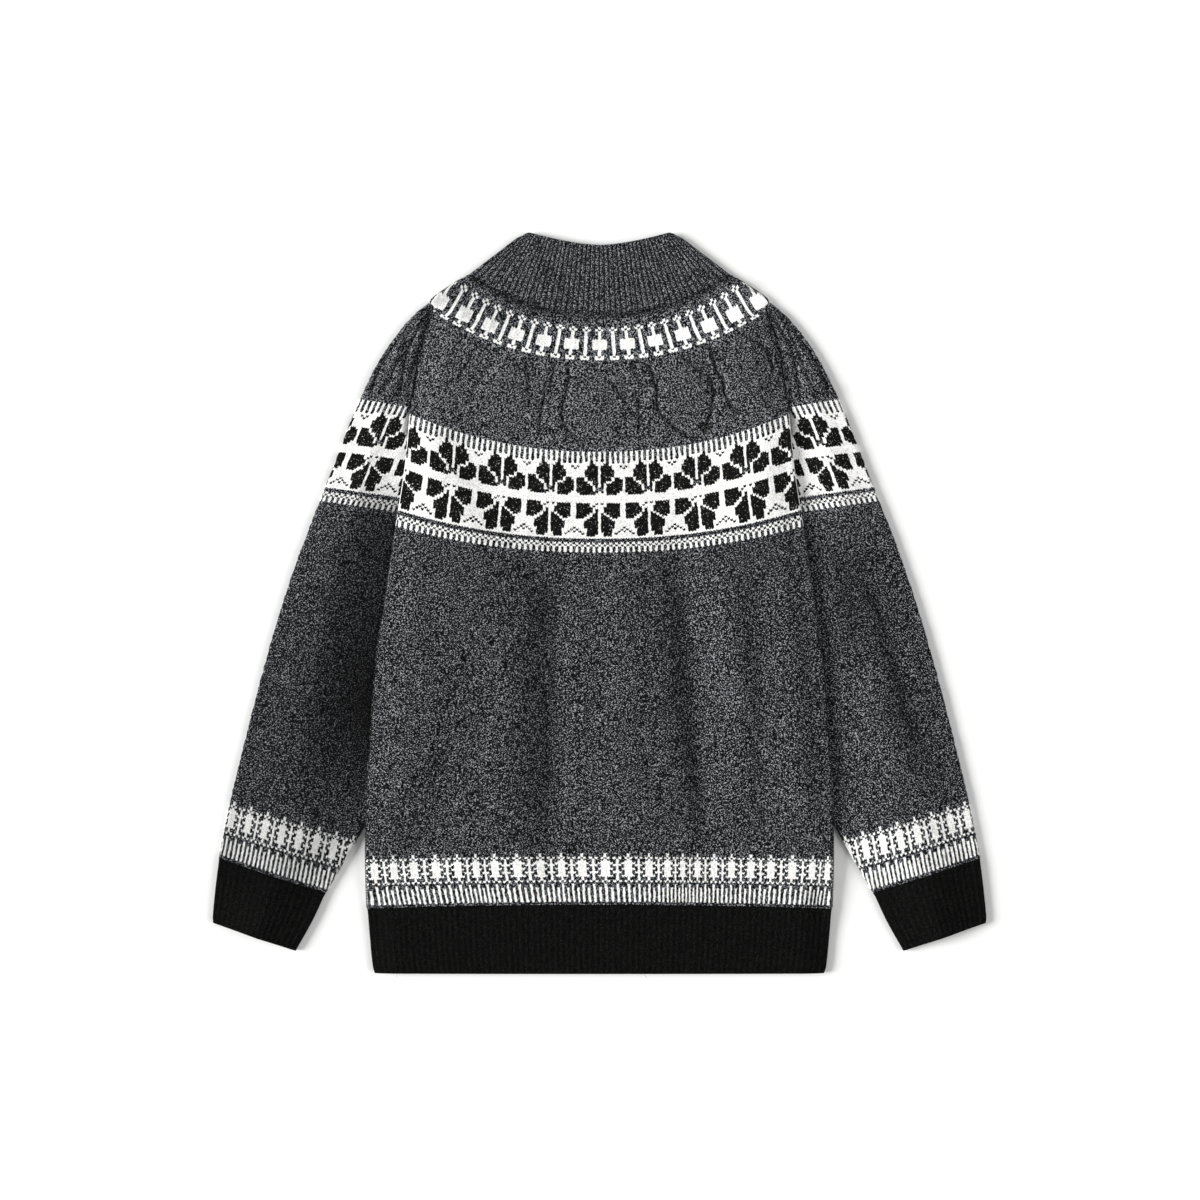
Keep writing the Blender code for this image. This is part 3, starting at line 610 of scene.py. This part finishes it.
# The stitches outside, a plainer layer inside of inner[0] by inner[1] quads, and the edges between the two.
def wallMesh(name, shape, zones, relief, inner):
    rows, ring = knitRows(shape, zones, relief), isinstance(shape, Ring)
    co, count = [], 0
    for row in rows:
        row["index"] = np.arange(count, count + len(row["k"]))
        co.append(row["co"])
        count += len(row["k"])
    insideRows = []
    for v in np.linspace(zones[0]["low"], zones[-1]["high"], inner[1]):
        t = np.linspace(-1, 3, 2 * inner[0] + 1)[:-1] if ring else np.linspace(-1, 1, inner[0] + 1)
        total = shape.total(v + 0 * t)
        x, h, z = shape.place(t * total, v + 0 * t, True, 0.0)
        insideRows.append(dict(index=np.arange(count, count + len(t)), t=t, v=v))
        co.append(np.stack([x, h, z], 1))
        count += len(t)
    faces, yarn = [], []
    for a, b in zip(rows[:-1], rows[1:]):
        for face, k in strip(a, b, ring):
            faces.append(face)
            wale = None if k is None else (k + 1) // 2 + a["shift"]
            yarn.append(zones[0]["chart"].min() if k is None else a["yarn"][wale % len(a["yarn"])])
    stitched = len(faces)
    for row in rows + insideRows:  # a ring's course ends where it starts
        row["round"] = list(row["index"]) + ([row["index"][0]] if ring else [])
        row["shares"] = list(row["t"]) + ([3.0] if ring else [])
    for a, b in zip(insideRows[:-1], insideRows[1:]):
        ai, bi = a["round"], b["round"]
        faces += [(ai[i + 1], ai[i], bi[i], bi[i + 1]) for i in range(len(ai) - 1)]
    for a, b, way in ((rows[0], insideRows[0], -1), (rows[-1], insideRows[-1], 1)):
        faces += [f[::way] for f in zipped(a["round"], b["round"], a["shares"], b["shares"])]
    if not ring:
        down = 1 if zones[-1]["high"] > zones[0]["low"] else -1
        for end, way in ((0, 1), (-1, -1)):
            ai, bi = ([r["index"][end] for r in rs] for rs in (rows, insideRows))
            ta, tb = ([down * r["v"] for r in rs] for rs in (rows, insideRows))
            faces += [f[::way] for f in zipped(ai, bi, ta, tb)]
    yarn += [int(zones[0]["chart"].min())] * (len(faces) - stitched)
    co = metres(np.concatenate(co))
    mesh = bpy.data.meshes.new(name)
    mesh.from_pydata(co.tolist(), [], [tuple(int(i) for i in f) for f in faces])
    heather = np.random.default_rng(cloth["seed"]).random(len(faces))
    outside = np.arange(len(faces)) < stitched
    extra = len(co) - sum(len(r["k"]) for r in rows)
    values = [("yarn", "FACE", yarn), ("heather", "FACE", heather), ("outside", "FACE", outside)]
    # The stitches' crests, their painted shade, and how much darker they are below the yoke.
    for key, plain in (("crest", 1.0), ("paintedShade", 0.0), ("darkerBelowYoke", 0.0)):
        values.append((key, "POINT", np.concatenate([r[key] for r in rows] + [np.full(extra, plain)])))
    for key, domain, value in values:
        mesh.attributes.new(key, "FLOAT", domain).data.foreach_set("value", np.array(value, np.float32))
    uv = np.concatenate([r["uv"] for r in rows] + [np.zeros((extra, 2))])
    layer = mesh.uv_layers.new(name="stitches")
    corners = np.empty(len(mesh.loops), np.int32)
    mesh.loops.foreach_get("vertex_index", corners)
    layer.data.foreach_set("uv", uv[corners].astype(np.float32).ravel())
    bm = bmesh.new()
    bm.from_mesh(mesh)
    bmesh.ops.recalc_face_normals(bm, faces=bm.faces)
    bm.to_mesh(mesh)
    bm.free()
    mesh.shade_smooth()
    print("knitted", name, len(mesh.polygons), "faces")
    return placed(name, mesh)


def linear(hexText):  # an sRGB hex value as linear light
    channels = [int(hexText[i:i + 2], 16) / 255 for i in (0, 2, 4)]
    return (*[c / 12.92 if c <= 0.04045 else ((c + 0.055) / 1.055) ** 2.4 for c in channels], 1.0)


def addNode(tree, kind, links=None, **settings):  # a node with its settings, its values and its links
    node = tree.nodes.new(kind)
    for key, value in settings.items():
        setattr(node, key, value)
    for socket, value in (links or {}).items():
        value = value.outputs[0] if isinstance(value, bpy.types.Node) else value
        if isinstance(value, bpy.types.NodeSocket):
            tree.links.new(value, node.inputs[socket])
        else:
            node.inputs[socket].default_value = value
    return node


woolLook = dict(
    # from dark fibres to pale ones
    greys=[(0.0, "020203"), (0.25, "0b0c0e"), (0.5, "1e2023"), (0.72, "3c3f42"), (1.0, "a0a2a6")],
    ribGreys=[(0.0, "060708"), (0.25, "17191b"), (0.5, "303235"), (0.72, "4b4e51"), (1.0, "989a9e")],
    whites=[(0.0, "dddbd7"), (0.25, "f6f5f2"), (0.5, "ffffff"), (1.0, "ffffff")],
    blacks=[(0.0, "060606"), (0.86, "151514"), (0.93, "4a4a48"), (1.0, "c8c7c3")],
    ribBlacks=[(0.0, "070707"), (1.0, "1d1d1c")],
    blackShare=0.67,  # how seldom a pale fibre shows in the black
    roughness=0.95,
    sheen=0.05,
    fleck=1.25,  # mm, the flecks of a melange yarn
    fleckDetail=1.5,
    fleckContrast=5.5,
    paleness=-0.1,  # more pale fibres or fewer
    perStitch=0.35,  # how much one stitch differs from the next
    fuzz=0.5,  # how much the fibres' unevenness shows
    fuzzHeight=0.0006,
    sheenRoughness=0.6,
    specular=0.05,
)


def newMaterial(name):
    material = bpy.data.materials.new(name)
    material.use_nodes = True
    return material, material.node_tree.nodes["Principled BSDF"]


def woolMaterial(name, look):
    # Carded melange wool, knitted and pressed: each stitch is flecked with dark and pale fibre, and dull, with a
    # faint bloom at the edges. It is darker below the yoke, and its colour is mixed towards black as painted shade.
    material, shader = newMaterial(name)
    tree, add = material.node_tree, partial(addNode, material.node_tree)
    yarn, heather, paintedShade, darkerBelowYoke = (
        add("ShaderNodeAttribute", attribute_name=key).outputs["Fac"]
        for key in ("yarn", "heather", "paintedShade", "darkerBelowYoke"))
    place = add("ShaderNodeTexCoord").outputs["Object"]
    grain = {"Vector": place, "Scale": 1000 / look["fleck"], "Detail": look["fleckDetail"]}
    flecks = add("ShaderNodeTexNoise", grain)
    gain = look["fleckContrast"]
    level = 0.5 - 0.5 * gain - 0.5 * look["perStitch"] + look["paleness"]
    fleck = add("ShaderNodeMath", {0: flecks, 1: gain, 2: level}, operation="MULTIPLY_ADD")
    lively = add("ShaderNodeMath", {0: heather, 1: look["perStitch"], 2: fleck}, operation="MULTIPLY_ADD")
    tone = add("ShaderNodeMath", {0: lively, 1: darkerBelowYoke}, operation="SUBTRACT")
    colours = []
    for key, share in (("greys", 1.0), ("whites", 1.0), ("blacks", look["blackShare"])):
        scaled = add("ShaderNodeMath", {0: tone, 1: share}, operation="MULTIPLY")
        colour = add("ShaderNodeValToRGB", {"Fac": scaled})
        ramp, tones = colour.color_ramp, look[key]
        for element, (at, hexText) in zip(ramp.elements, (tones[0], tones[-1])):
            element.position, element.color = at, linear(hexText)
        for at, hexText in tones[1:-1]:
            ramp.elements.new(at).color = linear(hexText)
        colours.append(colour)
    mixed = colours[0]
    for number in (1, 2):
        isYarn = add("ShaderNodeMath", {0: yarn, 1: float(number), 2: 0.3}, operation="COMPARE")
        mixed = add("ShaderNodeMix", {0: isYarn, 6: mixed, 7: colours[number]}, data_type="RGBA").outputs[2]
    # Painted shade: the colour mixed towards black.
    shaded = add("ShaderNodeMix", {0: paintedShade, 6: mixed, 7: (0.0, 0.0, 0.0, 1.0)}, data_type="RGBA")
    tree.links.new(shaded.outputs[2], shader.inputs["Base Color"])
    bump = add("ShaderNodeBump", {"Height": flecks, "Strength": look["fuzz"], "Distance": look["fuzzHeight"]})
    tree.links.new(bump.outputs["Normal"], shader.inputs["Normal"])
    for socket, key in (("Roughness", "roughness"), ("Sheen Weight", "sheen"),
                        ("Sheen Roughness", "sheenRoughness"), ("Specular IOR Level", "specular")):
        shader.inputs[socket].default_value = look[key]
    return material


# Runs the tree on the piece with these inputs and keeps the result as a plain mesh.
def giveNodes(piece, tree, **values):
    modifier = piece.modifiers.new(tree.name, "NODES")
    modifier.node_group = tree
    for key, value in values.items():
        modifier[tree.interface.items_tree[key.title()].identifier] = value
    graph = bpy.context.evaluated_depsgraph_get()
    mesh = bpy.data.meshes.new_from_object(piece.evaluated_get(graph))
    piece.modifiers.clear()
    old, piece.data = piece.data, mesh
    mesh.name = piece.name
    bpy.data.meshes.remove(old)


def newTree(name, **inputs):  # a group with named inputs and their defaults, None for a material
    tree = bpy.data.node_groups.new(name, "GeometryNodeTree")
    tree.interface.new_socket("Geometry", in_out="INPUT", socket_type="NodeSocketGeometry")
    kinds = {float: "Float", int: "Int", type(None): "Material"}
    for key, value in inputs.items():
        kind = "NodeSocket" + kinds[type(value)]
        socket = tree.interface.new_socket(key.title(), in_out="INPUT", socket_type=kind)
        if value is not None:
            socket.default_value = value
    tree.interface.new_socket("Geometry", in_out="OUTPUT", socket_type="NodeSocketGeometry")
    return tree, partial(addNode, tree), addNode(tree, "NodeGroupInput").outputs


def closeTree(tree, geometry, yarn):
    real = addNode(tree, "GeometryNodeRealizeInstances", {"Geometry": geometry})
    dyed = addNode(tree, "GeometryNodeSetMaterial", {"Geometry": real, "Material": yarn})
    addNode(tree, "NodeGroupOutput", {0: dyed})
    return tree


def reliefTree():  # sinks the dips between the stitches, from their crests
    tree, add, given = newTree("knitRelief", depth=0.0005, yarn=None)
    crest = add("GeometryNodeInputNamedAttribute", {"Name": "crest"})
    sunk = add("ShaderNodeMath", {0: crest, 1: 1.0}, operation="SUBTRACT")
    deep = add("ShaderNodeMath", {0: sunk, 1: given["Depth"]}, operation="MULTIPLY")
    normal = add("GeometryNodeInputNormal")
    offset = add("ShaderNodeVectorMath", {0: normal, "Scale": deep}, operation="SCALE")
    moved = add("GeometryNodeSetPosition", {"Geometry": given["Geometry"], "Offset": offset})
    return closeTree(tree, moved, given["Yarn"])


def linkingTree():  # a chain of linked loops of yarn along a seam
    tree, add, given = newTree("linkingStitch", **linking, yarn=None)
    path = add("GeometryNodeMeshToCurve", {"Mesh": given["Geometry"]})
    points = add("GeometryNodeResampleCurve", {"Curve": path, "Length": given["Spacing"]}, mode="LENGTH")
    circle = add("GeometryNodeCurvePrimitiveCircle", {"Resolution": 8, "Radius": given["Loop"]})
    slim = add("GeometryNodeTransform", {"Geometry": circle, "Scale": (1, 0.42, 1), "Rotation": (0.5, 0, 0)})
    thread = add("GeometryNodeCurvePrimitiveCircle", {"Resolution": 4, "Radius": given["Thread"]})
    link = add("GeometryNodeCurveToMesh", {"Curve": slim, "Profile Curve": thread})
    along = {"Vector": add("GeometryNodeInputTangent")}
    turned = add("FunctionNodeAlignRotationToVector", along, axis="X", pivot_axis="Z")
    chain = add("GeometryNodeInstanceOnPoints", {"Points": points, "Instance": link, "Rotation": turned})
    return closeTree(tree, chain, given["Yarn"])


def fuzzTree():  # loose fibres that stand out of the cloth's outside, in the colour of the stitch they leave
    tree, add, given = newTree("woolFuzz", **fuzzLook, yarn=None)
    outside = add("GeometryNodeInputNamedAttribute", {"Name": "outside"})
    height = add("ShaderNodeSeparateXYZ", {0: add("GeometryNodeInputPosition")})
    above = add("ShaderNodeMath", {0: height.outputs["Z"], 1: given["Lowest"]}, operation="GREATER_THAN")
    free = add("ShaderNodeMath", {0: above, 1: outside}, operation="MULTIPLY")
    dots = add("GeometryNodeDistributePointsOnFaces", {
        "Mesh": given["Geometry"], "Selection": free, "Density": given["Density"], "Seed": given["Seed"]})
    bend = add("GeometryNodeCurveQuadraticBezier", {
        "Resolution": 3, "Start": (0.0, 0.0, -0.1), "Middle": (0.1, 0.0, 0.5), "End": (0.85, 0.0, 0.45)})
    long = add("GeometryNodeTransform", {"Geometry": bend, "Scale": given["Length"]})
    section = add("GeometryNodeCurvePrimitiveCircle", {"Resolution": 3, "Radius": given["Thickness"]})
    fibre = add("GeometryNodeCurveToMesh", {"Curve": long, "Profile Curve": section, "Fill Caps": True})
    spin = add("FunctionNodeRandomValue", {
        0: (-0.5, -0.5, 0.0), 1: (0.5, 0.5, 6.283), "Seed": given["Seed"]}, data_type="FLOAT_VECTOR")
    around = add("FunctionNodeEulerToRotation", {0: spin})
    turned = add("FunctionNodeRotateRotation", {0: dots.outputs["Rotation"], 1: around}, rotation_space="LOCAL")
    sizes = add("FunctionNodeRandomValue", {2: 0.4, 3: 1.3, "Seed": given["Seed"]})
    hairs = add("GeometryNodeInstanceOnPoints", {
        "Points": dots, "Instance": fibre, "Rotation": turned, "Scale": sizes.outputs[1]})
    return closeTree(tree, hairs, given["Yarn"])


# Cables on the yoke: swellings (centre, half width, half height) and the lines between their strands, each its
# strength and its points, across and height in turn.
cables = dict(
    rise=2.0,
    ovals=[(-152, 588, 31, 44), (-94, 570, 31, 44), (-5, 569, 31, 43), (86, 577, 28, 42), (148, 598, 26, 42)],
    groove=1.5,  # half the width of a line
    deep=2.8,
    # The shade painted in a line's groove, and below it the most shade painted where a seam's is on it too.
    grooveShade=0.86,
    mostGrooveShade=0.85,  # with a seam's on it
    fade=7.0,  # how fast a line dies out at its ends
    wander=0.5,
    wave=0.35,  # how fast it wanders
    span=(523, 5, 607, 5),  # the courses that carry them: low, its fade, high, its fade
    side=(0.99, 0.03),  # the share of a course where they end, and over what share of it
    lines=[
        (0.45, -124, 623, -135, 605, -142, 590),
        (0.45, -106, 618, -114, 602, -125, 586, -131, 571),
        (0.3, -107, 627, -99, 617, -86, 607),
        (0.3, -103, 597, -114, 586, -117, 562),
        (0.75, -75, 620, -72, 600, -71.5, 586, -69, 568),
        (0.75, -44, 612, -48, 596, -54, 590, -56.5, 569, -60, 553, -60, 538),
        (0.8, -31, 608, -31.5, 588, -35, 576, -38, 559, -36.5, 552, -26.5, 538, -14, 526),
        (0.55, 9.5, 595, 20, 580, 28, 568),
        (0.7, 33, 609, 36.5, 598, 47, 585),
        (0.8, 35, 583, 39, 566, 39.5, 542),
        (1.0, 49, 609, 54, 594, 57, 583, 57.5, 566, 63.5, 557, 78.5, 543, 90.5, 536),
        (0.9, 75.5, 621, 89, 611, 102.5, 601, 111.5, 592, 113, 578, 112, 568, 108, 551, 105, 540),
        (1.0, 102.5, 633, 111.5, 622, 116, 605, 123.5, 592, 125, 581, 134, 565, 149, 560),
        (0.6, 112, 623, 120.5, 617, 126, 609),
        (0.5, 134, 566, 136, 552),
        (0.8, 130, 645, 144.5, 638, 164, 626, 174.5, 606),
        (0.35, 134, 617, 144.5, 601, 152, 584),
    ],
)
seamDip = dict(  # how the cloth sinks beside a seam, and the shade painted in that dip
    deep=1.7, width=3.2, grooveShade=0.6, grooveShadeWidth=3.6,
    neck=657.6, collarHeight=71,
    armhole=(560, 20, 668, 5),  # where the body has it: low, its fade, high, its fade
    sleeveRow=5.0, sleeveFade=0.6,  # the row of its cut from which it dies away
)


# The sink beside a seam, and the shade painted in it.
def dip(d):
    c = seamDip
    return c["deep"] * np.exp(-((d / c["width"]) ** 2)), c["grooveShade"] * np.exp(-((d / c["grooveShadeWidth"]) ** 2))


def drawn(lines, x, h):  # how near each point is to a line drawn in the cloth, 0 to 1
    c, near = cables, 0.0
    for strength, *points in lines:
        xs, hs = points[::2], points[1::2]
        at = np.clip(h, min(hs), max(hs))
        lineX = follow(hs, xs, at) + c["wander"] * np.sin(c["wave"] * h + xs[0])
        slope = follow(hs, xs, at + 0.5) - follow(hs, xs, at - 0.5)
        away = np.abs(x - lineX) / np.hypot(1, slope)
        ends = smooth((h - min(hs)) / c["fade"] + 0.5) * smooth((max(hs) - h) / c["fade"] + 0.5)
        near = np.maximum(near, strength * ends * np.exp(-((away / c["groove"]) ** 2)))
    return near


# The back's relief: cables, and dips at its neck and armhole seams, with the shade painted in their lines and dips.
def backRelief(t, v, s, total):
    c = cables
    half, edgeH, middleH = backShape.course(v)
    h = middleH + (edgeH - middleH) * np.minimum(np.abs(s) / half, 1) ** backShape.bow
    near = drawn(c["lines"], s, h)
    swell = 0.0
    for x0, h0, wide, tall in c["ovals"]:
        swell = np.maximum(swell, np.sqrt(np.clip(1 - ((s - x0) / wide) ** 2 - ((h - h0) / tall) ** 2, 0, 1)))
    fade = between(v, *c["span"]) * smooth((c["side"][0] - np.abs(t)) / c["side"][1])
    neck, hole = dip(seamDip["neck"] - v), dip(total - np.abs(s))
    sewn = between(edgeH, *seamDip["armhole"])
    rise = fade * (c["rise"] * swell - c["deep"] * near)
    grooveShade = fade * c["grooveShade"] * near + neck[1] + hole[1] * sewn
    return rise - neck[0] - hole[0] * sewn, np.clip(grooveShade, 0, c["mostGrooveShade"])


capCables = dict(  # on the sleeves' caps, by rows of their cut
    lines=((0.06, 0.35), (0.3, 0.6), (0.55, 0.45), (0.8, 0.65)),  # the share from the inner edge, and the strength
    rise=1.8,
    hump=6,  # from a line to the full rise beside it
    # the most shade painted in the caps' lines and seam
    mostGrooveShade=0.75,
    end=3.95,
    fadeIn=0.7,
    fadeOut=0.25,
    wander=0.05,
    wave=2.2,
    apart=9,  # how differently two lines wander
)


# The sleeves' relief: cables on their caps and a dip at their seam, with the shade painted in them.
def sleeveRelief(t, v, s, total):
    c = capCables
    fade = smooth(v / c["fadeIn"]) * smooth((c["end"] - v) / c["fadeOut"]) * (s > 0)
    away = 1 - np.abs(t)
    line, nearest = 0.0, np.inf
    for at, strength in c["lines"]:
        gap = total * np.abs(away - at - c["wander"] * np.sin(c["wave"] * v + c["apart"] * at))
        line = np.maximum(line, strength * np.exp(-((gap / cables["groove"]) ** 2)))
        nearest = np.minimum(nearest, gap)
    rise = fade * (c["rise"] * smooth(nearest / c["hump"]) - cables["deep"] * line)
    hole = dip(total - np.abs(s))
    sewn = (1 - smooth((v - seamDip["sleeveRow"]) / seamDip["sleeveFade"])) * (s > 0)
    grooveShade = fade * cables["grooveShade"] * line + hole[1] * sewn
    return rise - hole[0] * sewn, np.clip(grooveShade, 0, c["mostGrooveShade"])


# The collar's dip at its seam, with the shade painted in it.
def collarRelief(t, v, s, total):
    deep, grooveShade = dip(v * seamDip["collarHeight"])
    return -deep, grooveShade * (t < 1)


def settle(mesh):  # nothing lies lower than the floor
    co = np.empty(len(mesh.vertices) * 3, np.float32)
    mesh.vertices.foreach_get("co", co)
    co[2::3] = np.maximum(co[2::3], 0)
    mesh.vertices.foreach_set("co", co)


def knitPiece(name, node, shape, zones, finish, relief=plainRelief, inner=(40, 44)):  # it stands for its node
    depth, wool, slot = finish
    piece = wallMesh(name, shape, zones, relief, inner)
    giveNodes(piece, reliefNodes, depth=depth * mm, yarn=wool)
    settle(piece.data)
    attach(piece, "root")
    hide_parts(node)
    return piece


reliefNodes = reliefTree()
greyWool = woolMaterial("charcoal melange wool", woolLook)
ribWool = woolMaterial("charcoal ribbed wool", dict(woolLook, greys=woolLook["ribGreys"]))
blackWool = woolMaterial("black ribbed wool", dict(woolLook, sheen=0.0, blacks=woolLook["ribBlacks"]))
# How far the dips between stitches or ribs sink, the wool, and its slot.
stocking, greyRib = (0.45, greyWool, "grey_knit"), (1.7, ribWool, "grey_rib")
blackRib = (0.8, blackWool, "black_rib")

backShape = Panel(bodyCut["courses"], 1)
back = knitPiece("back_cloth", "back", backShape, bodyZones, stocking, backRelief)
front = knitPiece("front_cloth", "front", Panel(bodyCut["courses"], -1), frontZones, stocking)
collar = knitPiece("collar_rib", "collar", Ring(), ribZones["collar"], greyRib, collarRelief, (40, 6))
hems, sleeves, cuffs = {}, {}, {}
for side, up in (("back", 1), ("front", -1)):
    shape = Panel(hemCut["courses"], up, 1.0)
    hems[side] = knitPiece(f"hem_{side}", f"hem_rib_{side}", shape, ribZones["hem"], blackRib, inner=(40, 6))
for side in ("left", "right"):
    node, shape = f"sleeve_{side}", Tube(sleeveCut["courses"], side)
    sleeves[side] = knitPiece(node + "_cloth", node, shape, sleeveZones, stocking, sleeveRelief, (24, 44))
    node, shape = f"cuff_{side}", Tube(cuffCut["courses"], side, 1.0)
    cuffs[side] = knitPiece(node + "_rib", node, shape, ribZones["cuff"], blackRib, inner=(24, 6))

seams = dict(
    neck=657.4,  # its course
    neckInset=3.0,  # from the folds at its ends
    armhole=(571, 618, 50),  # from course to course, and its points
    side=(72, 330, 120),
    sideInset=1.0,
    sink=1.9,  # how deep the loops of the neck and armholes lie in the cloth
)
linking = dict(spacing=0.0028, loop=0.0019, thread=0.0004)


def seamLine(name, points):  # a chain of loops along the path of a seam
    mesh = bpy.data.meshes.new(name)
    mesh.from_pydata(metres(points).tolist(), [(i, i + 1) for i in range(len(points) - 1)], [])
    line = placed(name, mesh)
    giveNodes(line, linkingNodes, **linking, yarn=greyWool)
    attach(line, "root")
    print("sewn", name, len(line.data.polygons), "faces")


def backPath(v, share, sink=0.0, inset=0.0):  # over the back: share runs from -1 to 1 across each course
    s = share * (backShape.total(v) - inset)
    x, h, z = backShape.place(s, v + 0 * s, False, 0.0 * s)
    return np.stack([x, h, z - sink], 1)


linkingNodes = linkingTree()
seamLine("neck_seam", backPath(seams["neck"], np.linspace(-1, 1, 120), seams["sink"], seams["neckInset"]))
for name, side in (("left", -1), ("right", 1)):
    seamLine(f"armhole_seam_{name}", backPath(np.linspace(*seams["armhole"]), side, seams["sink"]))
    seamLine(f"side_seam_{name}", backPath(np.linspace(*seams["side"]), side, inset=seams["sideInset"]))

fuzzLook = dict(
    density=7000.0,  # to the square metre
    length=0.0042,
    thickness=0.00008,
    seed=3,
    lowest=0.0055,  # no fibres leave the cloth below it
)
fuzzNodes = fuzzTree()
blackPieces = [hems["back"], cuffs["left"], cuffs["right"]]
for piece in [back, collar, sleeves["left"], sleeves["right"]] + blackPieces:
    fuzz = placed("fuzz_" + piece.name, piece.data.copy())
    wool = blackWool if piece in blackPieces else greyWool
    giveNodes(fuzz, fuzzNodes, **fuzzLook, yarn=wool)
    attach(fuzz, "root")
    print("fuzz on", piece.name, len(fuzz.data.polygons), "faces")

studio = dict(
    floor="fafaf9",
    floorHalf=3,
    floorRoughness=0.9,
    world=0.24,
    # azimuth, elevation, strength, softness
    lamps=[("left softbox", 180, 24, 4.85, 30), ("right softbox", -8, 35, 1.5, 40)],
    lens=90.0,
    sensor=36.0,
    cameraHeight=3.006,
    centre=(0.0005, 0.0023),
)


def makeStudio(look):
    half = look["floorHalf"]
    floorMesh = bpy.data.meshes.new("floor")
    corners = [(-half, -half, 0), (half, -half, 0), (half, half, 0), (-half, half, 0)]
    floorMesh.from_pydata(corners, [], [(0, 1, 2, 3)])
    paint, shader = newMaterial("matt pale floor")  # an even, dull white that throws soft light back
    shader.inputs["Base Color"].default_value = linear(look["floor"])
    shader.inputs["Roughness"].default_value = look["floorRoughness"]
    floorMesh.materials.append(paint)
    placed("floor", floorMesh)
    world = bpy.data.worlds.new("studio")
    world.use_nodes = True
    inputs = world.node_tree.nodes["Background"].inputs
    inputs["Strength"].default_value = look["world"]
    inputs["Color"].default_value = (1, 1, 1, 1)
    bpy.context.scene.world = world
    for name, azimuth, elevation, strength, softness in look["lamps"]:
        light = bpy.data.lights.new(name, "SUN")
        light.energy, light.angle = strength, math.radians(softness)
        lamp = placed(name, light)
        lamp.rotation_euler = (math.radians(90 - elevation), 0, math.radians(azimuth + 90))
    camera = placed("camera", bpy.data.cameras.new("camera"))
    camera.data.lens, camera.data.sensor_width = look["lens"], look["sensor"]
    camera.location = (*look["centre"], look["cameraHeight"])
    bpy.context.scene.camera = camera
    bpy.context.scene.view_settings.view_transform = "Standard"


makeStudio(studio)
print("studio ready")
